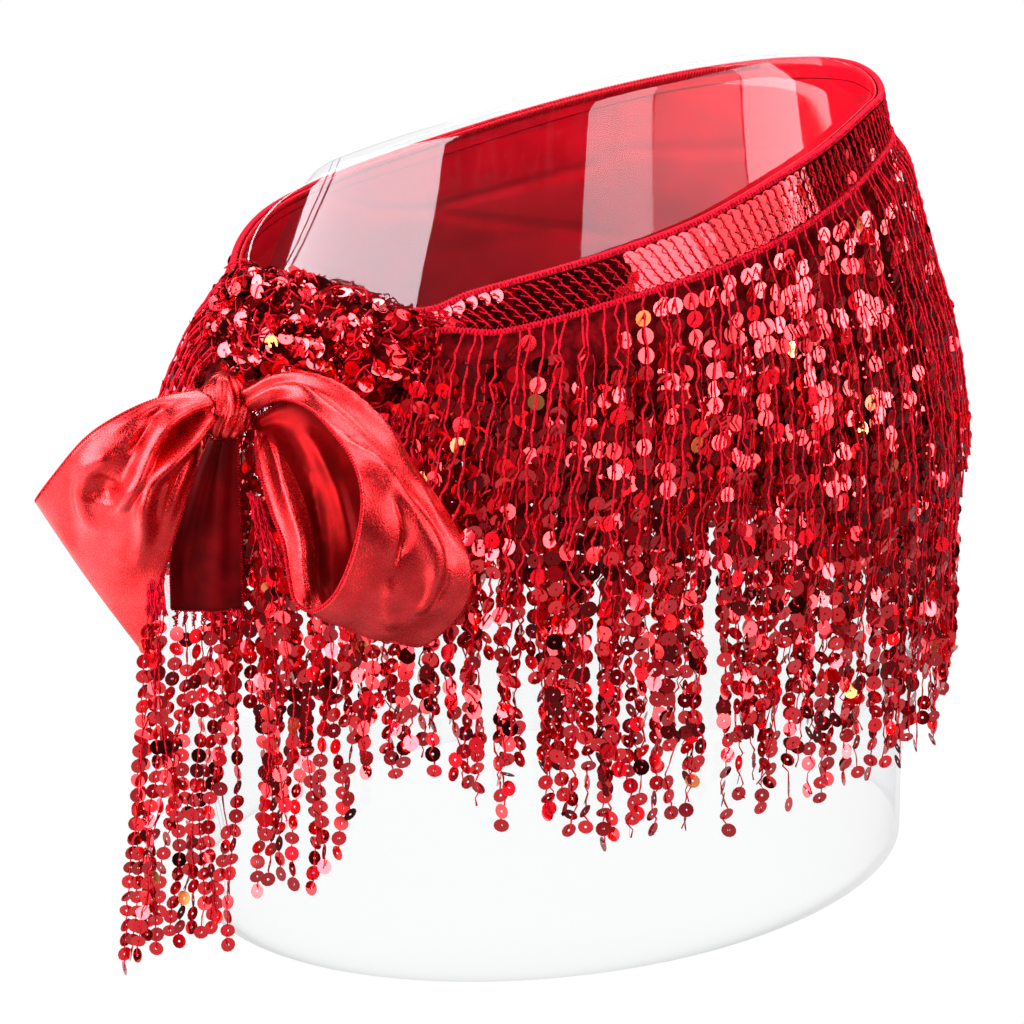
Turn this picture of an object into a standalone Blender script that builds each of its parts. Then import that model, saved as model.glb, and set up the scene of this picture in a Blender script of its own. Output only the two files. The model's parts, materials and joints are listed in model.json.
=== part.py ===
"""Belly dance hip scarf, tied at the side with a bow, on a clear limbless hip form.

Metres, +Z up. While it is being made, the form's axis is the Z axis, its wide axis is X,
the wearer faces -Y and the knot is on the -X hip. A bearing is an angle about the axis:
0 is +X, 90 is the back, 180 is -X and 270 is the front. A drop is measured straight down
from the scarf's slanted top edge, and a lift is measured straight out from the form.
At the end everything is moved so that its box stands centred on the origin.
"""

import math
from collections import namedtuple

import bpy
import bmesh
import numpy as np
from mathutils import Vector

MM = 0.001

# Clear form
FORM_WALL = 2.0 * MM
FORM_SIDES = 60
FORM_ROWS = 11
FORM_FOOT = -11.0 * MM         # height of the form's flat lower rim
RimRow = namedtuple("RimRow", "bearing over_edge")
FORM_RIM = (  # how far the form's upper rim stands over the scarf's top edge, in mm
    RimRow(0, 1),
    RimRow(35, 4),
    RimRow(90, 6),
    RimRow(150, 4),
    RimRow(174, 1.6),
    RimRow(179, 1.5),
    RimRow(181, 3),
    RimRow(183, 16),
    RimRow(185, 36),
    RimRow(187, 46.5),
    RimRow(189, 50),
    RimRow(192, 53.2),
    RimRow(198, 57.3),
    RimRow(205, 61),
    RimRow(216, 65.3),
    RimRow(226, 67),
    RimRow(230, 65),
    RimRow(236, 63.5),
    RimRow(245, 62.1),
    RimRow(260, 58.8),
    RimRow(275, 52),
    RimRow(290, 40.7),
    RimRow(302, 26.5),
    RimRow(312, 10.5),
    RimRow(322, 2.5),
    RimRow(335, 1.5),
    RimRow(360, 1),
)

# The scarf's top edge is a level ring with its +X side lifted
EDGE_HEIGHT = 288.4 * MM
EDGE_RISE = 32.8 * MM
EdgeRow = namedtuple("EdgeRow", "bearing pull")
EDGE_PULL = (  # how far the edge is pulled up from that ring, in mm
    EdgeRow(0, 0),
    EdgeRow(35, -2.5),
    EdgeRow(70, -3),
    EdgeRow(100, -1),
    EdgeRow(125, 4),
    EdgeRow(145, 7.5),
    EdgeRow(165, 4.5),
    EdgeRow(185, 0),
    EdgeRow(215, -1),
    EdgeRow(222, -1.2),
    EdgeRow(226, -1.1),
    EdgeRow(230, 1.6),
    EdgeRow(236, 3.1),
    EdgeRow(243, 3.8),
    EdgeRow(255, 4.2),
    EdgeRow(262, 4.2),
    EdgeRow(270, 4.4),
    EdgeRow(277, 5.3),
    EdgeRow(285, 6.2),
    EdgeRow(296, 6.4),
    EdgeRow(311, 6.5),
    EdgeRow(320, 5.1),
    EdgeRow(330, 1.6),
    EdgeRow(340, 0.3),
    EdgeRow(360, 0),
)

# Hip cloth
CLOTH_GAP = 1.15 * MM
CLOTH_WALL = 1.2 * MM
CLOTH_START = 205.0            # bearing of the front end, under the knot
CLOTH_END = 555.0              # bearing of the other end, once round
CLOTH_COLUMNS = 60
CLOTH_BAND_DROP = 20.0 * MM    # drop of the cloth's first row, under the waistband
CLOTH_ROWS = 4                 # rows between that and the lower edge
HEM_WAVE = 0.5 * MM            # how far the lower edge waves in and out
HEM_WAVES = 11

# Waistband
SEAM = 0.4 * MM
BAND_START = 222.0
BAND_END = 543.0
BAND_TOP = 2.6 * MM
BAND_BOTTOM = 16.4 * MM
BAND_THICK = 1.2 * MM
BRAID_RADIUS = 1.5 * MM
TOP_BRAID_DROP = 0.4 * MM
BAND_BRAID_DROP = 18.5 * MM
BandRow = namedtuple("BandRow", "bearing narrowed")
BAND_SHAPE = (  # how much the band narrows from below, in mm; it widens where that is negative
    BandRow(204, 11),
    BandRow(222, 11),
    BandRow(226, 10),
    BandRow(230, 6),
    BandRow(236, 1.2),
    BandRow(243, 0),
    BandRow(255, -0.3),
    BandRow(262, -0.8),
    BandRow(270, -2.2),
    BandRow(277, -3.2),
    BandRow(285, -4.5),
    BandRow(296, -4.5),
    BandRow(311, -3.5),
    BandRow(325, -1.5),
    BandRow(340, 0),
    BandRow(556, 0),
)

# Fringe
STRAND_WIDTH = 6.0 * MM        # one sequin wide
STRAND_THICK = 1.4 * MM
HEADER_HEIGHT = 4.0 * MM
UPPER_ROOT_DROP = 21.0 * MM
FRINGE_SEED = 7
UNEVEN_ENDS = 9.0 * MM         # how much shorter than its neighbours a strand may be
STRAND_TURN = 0.6              # how many degrees a strand may drift about the form
STRAND_BENDS = (255.0, 220.0, 185.0, 150.0)  # heights in mm at which strands bend with the hips
BEND_SPACE = 8.0               # a strand has no bend nearer to its ends than this, in mm
HEM_MARGIN = 2.0 * MM          # the lowest header ends this far above the cloth's edge
UPPER_REACH = 0.54             # how much of the way to the hem's ends the upper row hangs
MIDDLE_REACH = 0.82
HEADER_PASS = 3.0 * MM         # a strand stands off this far above the next row's header

# Bow: its frame stands at the wrapped centre, U to the right, W out to the viewer, Z up
BOW_CENTRE = Vector((-166.0, -50.0, 228.0)) * MM
BOW_BEARING = 244.0
RIBBON_WALL = 1.2 * MM
RIBBON_COLUMNS = 7
RIBBON_STEPS = 2               # rows between two stations of a ribbon

FormRow = namedtuple("FormRow", "height half_width half_depth lean")
FORM_SECTIONS = (  # mm
    FormRow(-11, 160, 118.5, 0),
    FormRow(28, 160, 118.5, 0),
    FormRow(65, 166, 123, 0),
    FormRow(110, 171, 126.5, 0),
    FormRow(150, 172, 127, 0),
    FormRow(185, 167.5, 123.5, 2),
    FormRow(220, 157.5, 116, 6),
    FormRow(255, 143.5, 105.5, 8.5),
    FormRow(285, 133, 98, 10.5),
    FormRow(321, 121.5, 89.5, 12.5),
    FormRow(340, 117, 86, 13.5),
    FormRow(360, 115, 84.5, 14),
)
HIP_HEIGHT = 150.0 * MM

HemRow = namedtuple("HemRow", "bearing cloth_edge fringe_end")
HEM_SECTIONS = (  # bearing in degrees, heights in mm
    HemRow(204, 238, 145),
    HemRow(214, 226, 110),
    HemRow(224, 220, 78),
    HemRow(233, 217, 80),
    HemRow(243, 209, 60),
    HemRow(256, 199.5, 52),
    HemRow(270, 191, 51),
    HemRow(298, 161, 49),
    HemRow(330, 150, 48),
    HemRow(360, 145, 47),
    HemRow(390, 150, 48),
    HemRow(420, 165, 49),
    HemRow(450, 185, 53),
    HemRow(480, 197, 73),
    HemRow(510, 209, 113),
    HemRow(530, 206, 125),
    HemRow(544, 212, 135),
    HemRow(556, 222, 145),
)

FringeRow = namedtuple("FringeRow", "name start end strands root_lift hang_lift end_lift")
FRINGE_ROWS = (  # bearings in degrees, lifts outside the cloth in mm
    FringeRow("fringe_upper", 227, 539, 44, 0.8, 6.4, 8.2),
    FringeRow("fringe_middle", 223, 541, 44, 0.8, 3.8, 5.6),
    FringeRow("fringe_hem", 220, 542, 46, 1.4, 1.4, 3.0),
)

EndFringeRow = namedtuple("EndFringeRow", "bearing root_height end_height")
END_FRINGE = (  # the gathered front end's strands, bearing in degrees, heights in mm
    EndFringeRow(206.5, 206, 20),
    EndFringeRow(211.0, 204, 26),
    EndFringeRow(216.0, 198, 33),
    EndFringeRow(220.0, 190, 40),
    EndFringeRow(224.0, 182, 78),
)
END_FRINGE_STRANDS = 8
END_FRINGE_LIFT = 10.0 * MM
END_FRINGE_SIDE = 1.0          # half the bearing that one of its strands takes up

GatherRow = namedtuple("GatherRow", "bearing top_height")
GATHERED_END = (  # the front end of the scarf, drawn together below the knot; heights in mm
    GatherRow(207.0, 231.0),
    GatherRow(213.0, 229.8),
    GatherRow(222.5, 228.2),
)
GATHER_COLUMNS = 20
GATHER_ROWS = 4
GATHER_PLEATS = 5
GATHER_DEPTH = 0.9 * MM

Station = namedtuple("Station", "near_u near_w near_z far_u far_w far_z arch folds")
LEFT_LOOP = (  # mm; near is the upper edge, far the lower one; arch bulges the cloth
    Station(-9.9, 5, 8, -9.9, 6, -9, 2, 1.5),
    Station(-25, 14, 7, -12, 13, -22, 4, 2.4),
    Station(-39, 18, 1.5, -16.5, 17, -36.5, 5, 2.2),
    Station(-51, 18, -7, -22, 16, -53, 5, 1.4),
    Station(-63, 12, -22, -28, 12, -75, 3, 0.7),
    Station(-73, 3, -37, -33, 3, -101, 1, 0),
    Station(-66, -6, -34, -31, -7, -92, 2, 0.3),
    Station(-52, -12, -21, -27, -14, -69, 3, 0.7),
    Station(-34, -12, -9, -20, -14, -44, 3, 1.0),
    Station(-21, -8, 0, -14, -10, -23, 2, 1.2),
    Station(-9.9, -4, 5, -9.9, -5, -8, 1, 1.0),
)
RIGHT_LOOP = (  # mm; near is the edge towards the viewer, far the one towards the hip
    Station(9.8, 4, 0, 8.9, 2, 10, 1, 0.8),
    Station(22, 16, 8, 27, 8, 15, 2, 1.2),
    Station(33, 32, 10, 45, 16, 9, 4, 1.4),
    Station(43, 46, 5, 60, 26, -1, 5, 1.4),
    Station(51, 57, -3, 74, 34, -16, 6, 1.3),
    Station(54, 63, -14, 85, 40, -31, 6, 1.2),
    Station(52.5, 64, -27, 92, 43, -47, 6, 1.0),
    Station(48, 60, -43, 91, 43, -62, 5, 0.8),
    Station(42, 55, -56, 83, 41, -74, 3, 0.6),
    Station(34, 48, -64, 72, 38, -82, 2, 0.4),
    Station(27.5, 43, -62.5, 60, 36, -76, 2, 0.6),
    Station(25, 39, -54, 50, 31, -64, 3, 0.8),
    Station(23, 35, -42, 41, 25, -49, 4, 1.0),
    Station(19, 29, -34, 32, 19, -36, 4, 1.2),
    Station(14.5, 19, -24, 23, 12, -21, 3, 1.2),
    Station(10.8, 6, -11, 12, 1, -4, 1, 0.8),
)
TAIL_PANEL = (  # mm; near is the left edge, far the right one
    Station(-6, 2, -12.0, 4, 2, -12.2, 0, 0.6),
    Station(-15, 3, -33, 4, 3, -34, 1, 1.2),
    Station(-22, 3, -58, 4, 3, -59, 2, 1.2),
    Station(-23, 3, -81, 4, 3, -81, 2, 1.0),
)

StrandRow = namedtuple("StrandRow", "root_u root_w root_z end_u end_w end_z")
TAIL_FRINGE = (  # mm; first and last strand of the fringe sewn to the tail's hem
    StrandRow(-20.5, 4.5, -81.8, -33, 0, -234),
    StrandRow(2.0, 4.0, -81.8, -8, 0, -229),
)
TAIL_FRINGE_STRANDS = 6
CORNER_TASSEL = (  # mm; first and last strand of the tassel at the other end's corner
    StrandRow(-34, 12.9, -75, -48, 11, -234),
    StrandRow(-26, 14.5, -72, -34, 9, -230),
)
CORNER_STRANDS = 4
TASSEL_HEADER = 5.0 * MM
TAIL_STRAND_HALF = 1.8 * MM
TASSEL_STRAND_HALF = 1.14 * MM

KnotRow = namedtuple("KnotRow", "bearing height lift radius_out radius_up")
SCARF_KNOT = (  # mm; stations along the two gathered, knotted ends
    KnotRow(181, 258, 6.0, 3.0, 5.0),
    KnotRow(184, 256, 10.0, 7.5, 12.0),
    KnotRow(190, 255.5, 14.0, 11.0, 15.5),
    KnotRow(196, 256, 16.5, 13.5, 17.0),
    KnotRow(203, 253.0, 17.3, 12.9, 20.0),
    KnotRow(210, 251, 14.3, 11.3, 19.0),
    KnotRow(217, 249, 12.0, 9.0, 18.0),
    KnotRow(223, 250, 9.5, 6.5, 12.0),
    KnotRow(226, 252, 7.0, 3.0, 4.0),
)
KNOT_SIDES = 14
KNOT_LUMP = 0.10
BOW_KNOT_HALF = Vector((10.1, 11.0, 12.0)) * MM
BOW_KNOT_FORWARD = 1.0 * MM    # how far the wrapped centre stands out from the bow's frame
BOW_KNOT_LEAN = 5.6 * MM       # how far its top leans back to the scarf's knot
BOW_KNOT_SQUARE = 0.6          # under 1 makes its upright outline squarer
BOW_KNOT_SIDES = 20
BOW_KNOT_RINGS = 9
BOW_KNOT_PLEATS = 7
PLEAT_DEPTH = 0.07

# Colours: red, green, blue, roughness and metallic
COLOURS = {
    "clear_form": (0.90, 0.93, 0.95, 0.05, 0.0),
    "satin": (0.60, 0.005, 0.012, 0.38, 0.2),
    "lame": (0.72, 0.010, 0.016, 0.33, 0.6),
    "sequins": (0.62, 0.006, 0.018, 0.16, 0.9),
    "braid": (0.55, 0.008, 0.035, 0.75, 0.0),
    "fringe": (0.56, 0.005, 0.016, 0.20, 0.8),
}


def clear_scene():
    """Removes whatever the open scene holds."""
    for obj in list(bpy.data.objects):
        bpy.data.objects.remove(obj, do_unlink=True)


def material(name):
    """The Principled material of that name, made once."""
    if name in bpy.data.materials:
        return bpy.data.materials[name]
    red, green, blue, roughness, metallic = COLOURS[name]
    made = bpy.data.materials.new(name)
    made.use_nodes = True
    shader = made.node_tree.nodes["Principled BSDF"]
    shader.inputs["Base Color"].default_value = (red, green, blue, 1.0)
    shader.inputs["Roughness"].default_value = roughness
    shader.inputs["Metallic"].default_value = metallic
    return made


def curve_through(stations, values, value):
    """A smooth value between table rows: Catmull-Rom over the uneven steps of `stations`."""
    stations = np.asarray(stations, float)
    values = np.asarray(values, float)
    slopes = np.gradient(values, stations)
    i = int(np.clip(np.searchsorted(stations, value) - 1, 0, len(stations) - 2))
    span = stations[i + 1] - stations[i]
    t = min(max((value - stations[i]) / span, 0.0), 1.0)
    return float(
        (1 + 2 * t) * (1 - t) ** 2 * values[i]
        + t * (1 - t) ** 2 * span * slopes[i]
        + t * t * (3 - 2 * t) * values[i + 1]
        + t * t * (t - 1) * span * slopes[i + 1]
    )


def from_table(rows, key, column, value):
    """The smooth value of one named column of a table at `value` of its key column."""
    keys = [getattr(row, key) for row in rows]
    return curve_through(keys, [getattr(row, column) for row in rows], value)


def form_section(height):
    """Half width, half depth and lean of the form at a height."""
    return [
        from_table(FORM_SECTIONS, "height", column, height / MM) * MM
        for column in ("half_width", "half_depth", "lean")
    ]


def form_point(bearing, height, lift, hanging=False):
    """The point at `lift` outside the form. What hangs falls straight below the hips."""
    measured = max(height, HIP_HEIGHT) if hanging else height
    half_width, half_depth, lean = form_section(measured)
    angle = math.radians(bearing)
    outward = Vector((math.cos(angle) / half_width, math.sin(angle) / half_depth, 0)).normalized()
    base = Vector((lean + half_width * math.cos(angle), half_depth * math.sin(angle), height))
    return base + outward * lift


def edge_height(bearing):
    """Height of the scarf's slanted top edge."""
    pull = from_table(EDGE_PULL, "bearing", "pull", bearing % 360.0) * MM
    return EDGE_HEIGHT + EDGE_RISE * math.cos(math.radians(bearing)) + pull


def band_narrowed(bearing):
    """How much higher the band's lower side lies than its even width would put it."""
    return from_table(BAND_SHAPE, "bearing", "narrowed", bearing) * MM


def cloth_edge(bearing):
    """Height of the hip cloth's lower edge."""
    return from_table(HEM_SECTIONS, "bearing", "cloth_edge", bearing) * MM


def fringe_end(bearing):
    """Height at which the lowest fringe ends."""
    return from_table(HEM_SECTIONS, "bearing", "fringe_end", bearing) * MM


def spread(first, last, count):
    """`count` evenly spaced values from first to last."""
    return [first + (last - first) * i / (count - 1) for i in range(count)]


def new_object(name, data, colour):
    """Links an object with its own material."""
    obj = bpy.data.objects.new(name, data)
    bpy.context.scene.collection.objects.link(obj)
    finish = material(colour).copy()
    finish.name = name
    data.materials.append(finish)
    return obj


def mesh_object(name, mesh, colour, smooth_angle=40):
    """Makes an object of a bmesh and shades it smooth."""
    data = bpy.data.meshes.new(name)
    mesh.to_mesh(data)
    mesh.free()
    for face in data.polygons:
        face.use_smooth = True
    data.set_sharp_from_angle(angle=math.radians(smooth_angle))
    return new_object(name, data, colour)


def add_wall(obj, thickness):
    """Gives a sheet its thickness, outwards."""
    wall = obj.modifiers.new("wall", "SOLIDIFY")
    wall.thickness = thickness
    wall.offset = 1.0
    wall.use_even_offset = False
    return obj


def grid_sheet(name, rows, thickness, colour):
    """A sheet through rows of points, its outside on the side that the rows' order gives."""
    mesh = bmesh.new()
    made = [[mesh.verts.new(point) for point in row] for row in rows]
    for upper, lower in zip(made, made[1:]):
        for i in range(len(upper) - 1):
            mesh.faces.new((upper[i], lower[i], lower[i + 1], upper[i + 1]))
    return add_wall(mesh_object(name, mesh, colour), thickness)


def lofted_body(name, rings, colour):
    """A closed body through rings of points, each end closed by a fan."""
    mesh = bmesh.new()
    made = [[mesh.verts.new(point) for point in ring] for ring in rings]
    sides = len(made[0])
    for first, second in zip(made, made[1:]):
        for i in range(sides):
            j = (i + 1) % sides
            mesh.faces.new((first[i], first[j], second[j], second[i]))
    for ring in (made[0], made[-1]):
        centre = mesh.verts.new(sum((v.co for v in ring), Vector()) / sides)
        for i in range(sides):
            mesh.faces.new((ring[i], ring[(i + 1) % sides], centre))
    bmesh.ops.recalc_face_normals(mesh, faces=mesh.faces)
    return mesh_object(name, mesh, colour)


def cord(name, points, radius, colour):
    """A round trim along points, with closed ends."""
    curve = bpy.data.curves.new(name, "CURVE")
    curve.dimensions = "3D"
    spline = curve.splines.new("POLY")
    spline.points.add(len(points) - 1)
    for place, point in zip(spline.points, points):
        place.co = (*point, 1.0)
    curve.bevel_depth = radius
    curve.bevel_resolution = 0
    curve.use_fill_caps = True
    return new_object(name, curve, colour)


def clear_form():
    """The hollow form: an open tube whose lower rim is flat and whose upper rim rises in front."""
    mesh = bmesh.new()
    rings = []
    bearings = [360.0 * i / FORM_SIDES for i in range(FORM_SIDES)]
    for share in spread(0.0, 1.0, FORM_ROWS + 1):
        ring = []
        for bearing in bearings:
            top = edge_height(bearing) + from_table(FORM_RIM, "bearing", "over_edge", bearing) * MM
            height = FORM_FOOT + (top - FORM_FOOT) * share
            ring.append(mesh.verts.new(form_point(bearing, height, -FORM_WALL)))
        rings.append(ring)
    for lower, upper in zip(rings, rings[1:]):
        for i in range(FORM_SIDES):
            j = (i + 1) % FORM_SIDES
            mesh.faces.new((lower[i], lower[j], upper[j], upper[i]))
    made = mesh_object("clear_form", mesh, "clear_form")
    return level_wall(made, FORM_WALL)


def level_wall(obj, thickness):
    """Thickens a tube level outwards, so that its flat lower rim stays flat."""
    mesh = bmesh.new()
    mesh.from_mesh(obj.data)
    inner = list(mesh.verts)
    faces = list(mesh.faces)
    edges = [edge for edge in mesh.edges if edge.is_boundary]
    outer = {}
    for vert in inner:
        level = Vector((vert.normal.x, vert.normal.y, 0)).normalized()
        outer[vert] = mesh.verts.new(vert.co + level * thickness)
    for face in faces:
        mesh.faces.new([outer[v] for v in face.verts])
    for edge in edges:
        a, b = edge.verts
        mesh.faces.new((a, b, outer[b], outer[a]))
    bmesh.ops.recalc_face_normals(mesh, faces=mesh.faces)
    mesh.to_mesh(obj.data)
    mesh.free()
    return obj


def cloth_bearings():
    """The bearings of the hip cloth's columns; what is sewn along the cloth shares them."""
    return spread(CLOTH_START, CLOTH_END, CLOTH_COLUMNS + 1)


def skirt_cloth():
    """The hip cloth: a long triangle, wrapped, with a gently waved lower edge."""
    bearings = cloth_bearings()
    rows = [[form_point(at, edge_height(at), CLOTH_GAP) for at in bearings]]
    for share in spread(0.0, 1.0, CLOTH_ROWS + 1):
        row = []
        for bearing in bearings:
            top, bottom = edge_height(bearing) - CLOTH_BAND_DROP, cloth_edge(bearing)
            wave = HEM_WAVE * share**3 * (1 + math.sin(math.radians(bearing * HEM_WAVES))) / 2
            height = top + (bottom - top) * share
            row.append(form_point(bearing, height, CLOTH_GAP + wave, hanging=True))
        rows.append(row)
    return grid_sheet("skirt_cloth", rows, CLOTH_WALL, "satin")


def over_cloth(bearing, height, lift):
    """A point at `lift` outside the hip cloth's outer face."""
    return form_point(bearing, height, CLOTH_GAP + CLOTH_WALL + lift, hanging=True)


def waistband():
    """The flat sequin band between its two braids."""
    bearings = [at for at in cloth_bearings() if BAND_START < at < BAND_END]
    rows = [
        [over_cloth(at, edge_height(at) - drop + raised * band_narrowed(at), SEAM) for at in bearings]
        for drop, raised in ((BAND_TOP, 0), (BAND_BOTTOM, 1))
    ]
    grid_sheet("sequin_band", rows, BAND_THICK, "sequins")
    for name, drop, raised in (
        ("top_braid", TOP_BRAID_DROP, 0),
        ("band_braid", BAND_BRAID_DROP, 1),
    ):
        route = [
            over_cloth(
                at, edge_height(at) - drop + raised * band_narrowed(at), SEAM + BRAID_RADIUS
            )
            for at in bearings
        ]
        cord(name, route, BRAID_RADIUS, "braid")


def comb(name, header, strands, half_width, colour="fringe"):
    """Strands of fringe below a narrow header strip, as one sheet.

    `header` gives, for each strand, the strip's top and bottom points at the strand's two
    sides; `strands` gives, for each strand, its centre points from the root down.
    """
    mesh = bmesh.new()
    tops, bottoms = [], []
    for left_top, right_top, left_bottom, right_bottom in header:
        tops += [mesh.verts.new(left_top), mesh.verts.new(right_top)]
        bottoms += [mesh.verts.new(left_bottom), mesh.verts.new(right_bottom)]
    for i in range(len(tops) - 1):
        mesh.faces.new((tops[i], bottoms[i], bottoms[i + 1], tops[i + 1]))
    for i, centres in enumerate(strands):
        left, right = bottoms[2 * i], bottoms[2 * i + 1]
        across = (right.co - left.co).normalized() * half_width
        for centre in centres:
            lower_left = mesh.verts.new(centre - across)
            lower_right = mesh.verts.new(centre + across)
            mesh.faces.new((left, lower_left, lower_right, right))
            left, right = lower_left, lower_right
    return add_wall(mesh_object(name, mesh, colour), STRAND_THICK)


def strand_path(bearing, turn, stops):
    """Centre points of a strand over the hips, below its header.

    `stops` are (height, lift) pairs from the header down. Between them the strand bends
    with the hips, and over its whole length it turns by `turn` degrees about the form.
    """
    places = []
    for (upper, first), (lower, last) in zip(stops, stops[1:]):
        low, high = lower / MM + BEND_SPACE, upper / MM - BEND_SPACE
        bends = [height * MM for height in STRAND_BENDS if low < height < high]
        for height in [*bends, lower]:
            places.append((height, first + (last - first) * (upper - height) / (upper - lower)))
    top, end = stops[0][0], stops[-1][0]
    return [
        over_cloth(bearing + turn * (top - height) / (top - end), height, lift)
        for height, lift in places
    ]


def hip_fringe(row, root_height, pass_height, end_height, chance):
    """One row of fringe round the hips.

    The three heights are functions of bearing: of the header, of where the strands stand
    off to pass the row below, and of their ends.
    """
    header, strands = [], []
    for bearing in spread(row.start, row.end, row.strands):
        half_width, half_depth, _ = form_section(max(root_height(bearing), HIP_HEIGHT))
        angle = math.radians(bearing)
        metres_a_degree = math.radians(
            math.hypot(half_width * math.sin(angle), half_depth * math.cos(angle))
        )
        side = STRAND_WIDTH / 2 / metres_a_degree
        header.append(
            [
                over_cloth(bearing + turn, root_height(bearing + turn) - drop, row.root_lift * MM)
                for drop in (0.0, HEADER_HEIGHT)
                for turn in (-side, side)
            ]
        )
        end = end_height(bearing) + chance.uniform(0.0, 1.0) * UNEVEN_ENDS
        turn = chance.uniform(-STRAND_TURN, STRAND_TURN)
        stops = (
            (root_height(bearing) - HEADER_HEIGHT, row.root_lift * MM),
            (pass_height(bearing), row.hang_lift * MM),
            (end, row.end_lift * MM),
        )
        strands.append(strand_path(bearing, turn, stops))
    comb(row.name, header, strands, STRAND_WIDTH / 2)


def fringe_rows():
    """The three rows sewn round the cloth, from the band, the middle and the lower edge."""
    chance = np.random.default_rng(FRINGE_SEED)

    def upper_root(bearing):
        return edge_height(bearing) - UPPER_ROOT_DROP + band_narrowed(bearing)

    def hem_root(bearing):
        return cloth_edge(bearing) + HEADER_HEIGHT + HEM_MARGIN

    def middle_root(bearing):
        return (upper_root(bearing) + hem_root(bearing)) / 2

    def upper_end(bearing):
        root = upper_root(bearing)
        return root + (fringe_end(bearing) - root) * UPPER_REACH

    def middle_end(bearing):
        root = middle_root(bearing)
        return root + (fringe_end(bearing) - root) * MIDDLE_REACH

    def over_middle(bearing):
        return min(middle_root(bearing), upper_root(bearing) - 2 * HEADER_HEIGHT) + HEADER_PASS

    def over_hem(bearing):
        return min(hem_root(bearing), middle_root(bearing) - 2 * HEADER_HEIGHT) + HEADER_PASS

    def below_hem(bearing):
        return hem_root(bearing) - 2 * HEADER_HEIGHT

    upper, middle, hem = FRINGE_ROWS
    hip_fringe(upper, upper_root, over_middle, upper_end, chance)
    hip_fringe(middle, middle_root, over_hem, middle_end, chance)
    hip_fringe(hem, hem_root, below_hem, fringe_end, chance)


def end_root(bearing):
    """Height of the top of the end fringe's header."""
    return from_table(END_FRINGE, "bearing", "root_height", bearing) * MM


def gathered_end():
    """The scarf's front end, drawn together in pleats between the knot and its fringe."""
    rows = []
    bearings = spread(GATHERED_END[0].bearing, GATHERED_END[-1].bearing, GATHER_COLUMNS + 1)
    for share in spread(0.0, 1.0, GATHER_ROWS + 1):
        row = []
        for i, bearing in enumerate(bearings):
            top = from_table(GATHERED_END, "bearing", "top_height", bearing) * MM
            height = top + (end_root(bearing) + SEAM - top) * share
            pleat = math.sin(2 * math.pi * GATHER_PLEATS * i / GATHER_COLUMNS)
            row.append(
                over_cloth(bearing, height, END_FRINGE_LIFT + GATHER_DEPTH * pleat * (1 - share))
            )
        rows.append(row)
    grid_sheet("gathered_end", rows, CLOTH_WALL, "satin")


def end_fringe():
    """The gathered front end's fringe, hanging from a short header."""
    header, strands = [], []
    side = END_FRINGE_SIDE
    first, last = END_FRINGE[0].bearing, END_FRINGE[-1].bearing
    for bearing in spread(first, last, END_FRINGE_STRANDS):
        root = end_root(bearing)
        end = from_table(END_FRINGE, "bearing", "end_height", bearing) * MM
        header.append(
            [
                over_cloth(bearing + turn, end_root(bearing + turn) - drop, END_FRINGE_LIFT)
                for drop in (0.0, HEADER_HEIGHT)
                for turn in (-side, side)
            ]
        )
        stops = ((root - HEADER_HEIGHT, END_FRINGE_LIFT), (end, END_FRINGE_LIFT))
        strands.append(strand_path(bearing, 0.0, stops))
    comb("end_fringe", header, strands, STRAND_WIDTH / 2)


def bow_point(u, w, z):
    """A point of the bow's frame, given in millimetres."""
    angle = math.radians(BOW_BEARING)
    out = Vector((math.cos(angle), math.sin(angle), 0))
    right = Vector((-math.sin(angle), math.cos(angle), 0))
    return BOW_CENTRE + (right * u + out * w + Vector((0, 0, z))) * MM


def ribbon(name, stations, colour="lame"):
    """A ribbon through its stations, arched and folded across its width."""
    count = (len(stations) - 1) * RIBBON_STEPS + 1
    places = range(len(stations))
    smooth = [
        [
            curve_through(places, [station[column] for station in stations], at)
            for column in range(len(Station._fields))
        ]
        for at in spread(0.0, len(stations) - 1.0, count)
    ]
    rows = [Station(*values) for values in smooth]
    middles = [
        bow_point(
            (row.near_u + row.far_u) / 2, (row.near_w + row.far_w) / 2, (row.near_z + row.far_z) / 2
        )
        for row in rows
    ]
    sheet = []
    for i, row in enumerate(rows):
        near = bow_point(row.near_u, row.near_w, row.near_z)
        far = bow_point(row.far_u, row.far_w, row.far_z)
        along = middles[min(i + 1, len(rows) - 1)] - middles[max(i - 1, 0)]
        outward = along.cross(far - near).normalized()
        line = []
        for share in spread(0.0, 1.0, RIBBON_COLUMNS + 1):
            bulge = row.arch * math.sin(math.pi * share)
            bulge += row.folds * math.sin(4 * math.pi * share) * math.sin(math.pi * share)
            line.append(near.lerp(far, share) + outward * bulge * MM)
        sheet.append(line)
    return grid_sheet(name, sheet, RIBBON_WALL, colour)


def hung_strands(name, ends, count, header_height, half_width):
    """A straight header with strands, from the first and the last strand of a table."""
    first, last = ends
    header, strands = [], []
    for share in spread(0.0, 1.0, count):
        row = StrandRow(*(a + (b - a) * share for a, b in zip(first, last)))
        root = bow_point(row.root_u, row.root_w, row.root_z)
        across = bow_point(last.root_u, last.root_w, last.root_z)
        across = (across - bow_point(first.root_u, first.root_w, first.root_z)).normalized()
        down = Vector((0, 0, -header_height))
        side = across * half_width
        header.append([root - side, root + side, root - side + down, root + side + down])
        end = bow_point(row.end_u, row.end_w, row.end_z)
        strands.append([(root + down).lerp(end, part) for part in (0.5, 1.0)])
    comb(name, header, strands, half_width)


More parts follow.
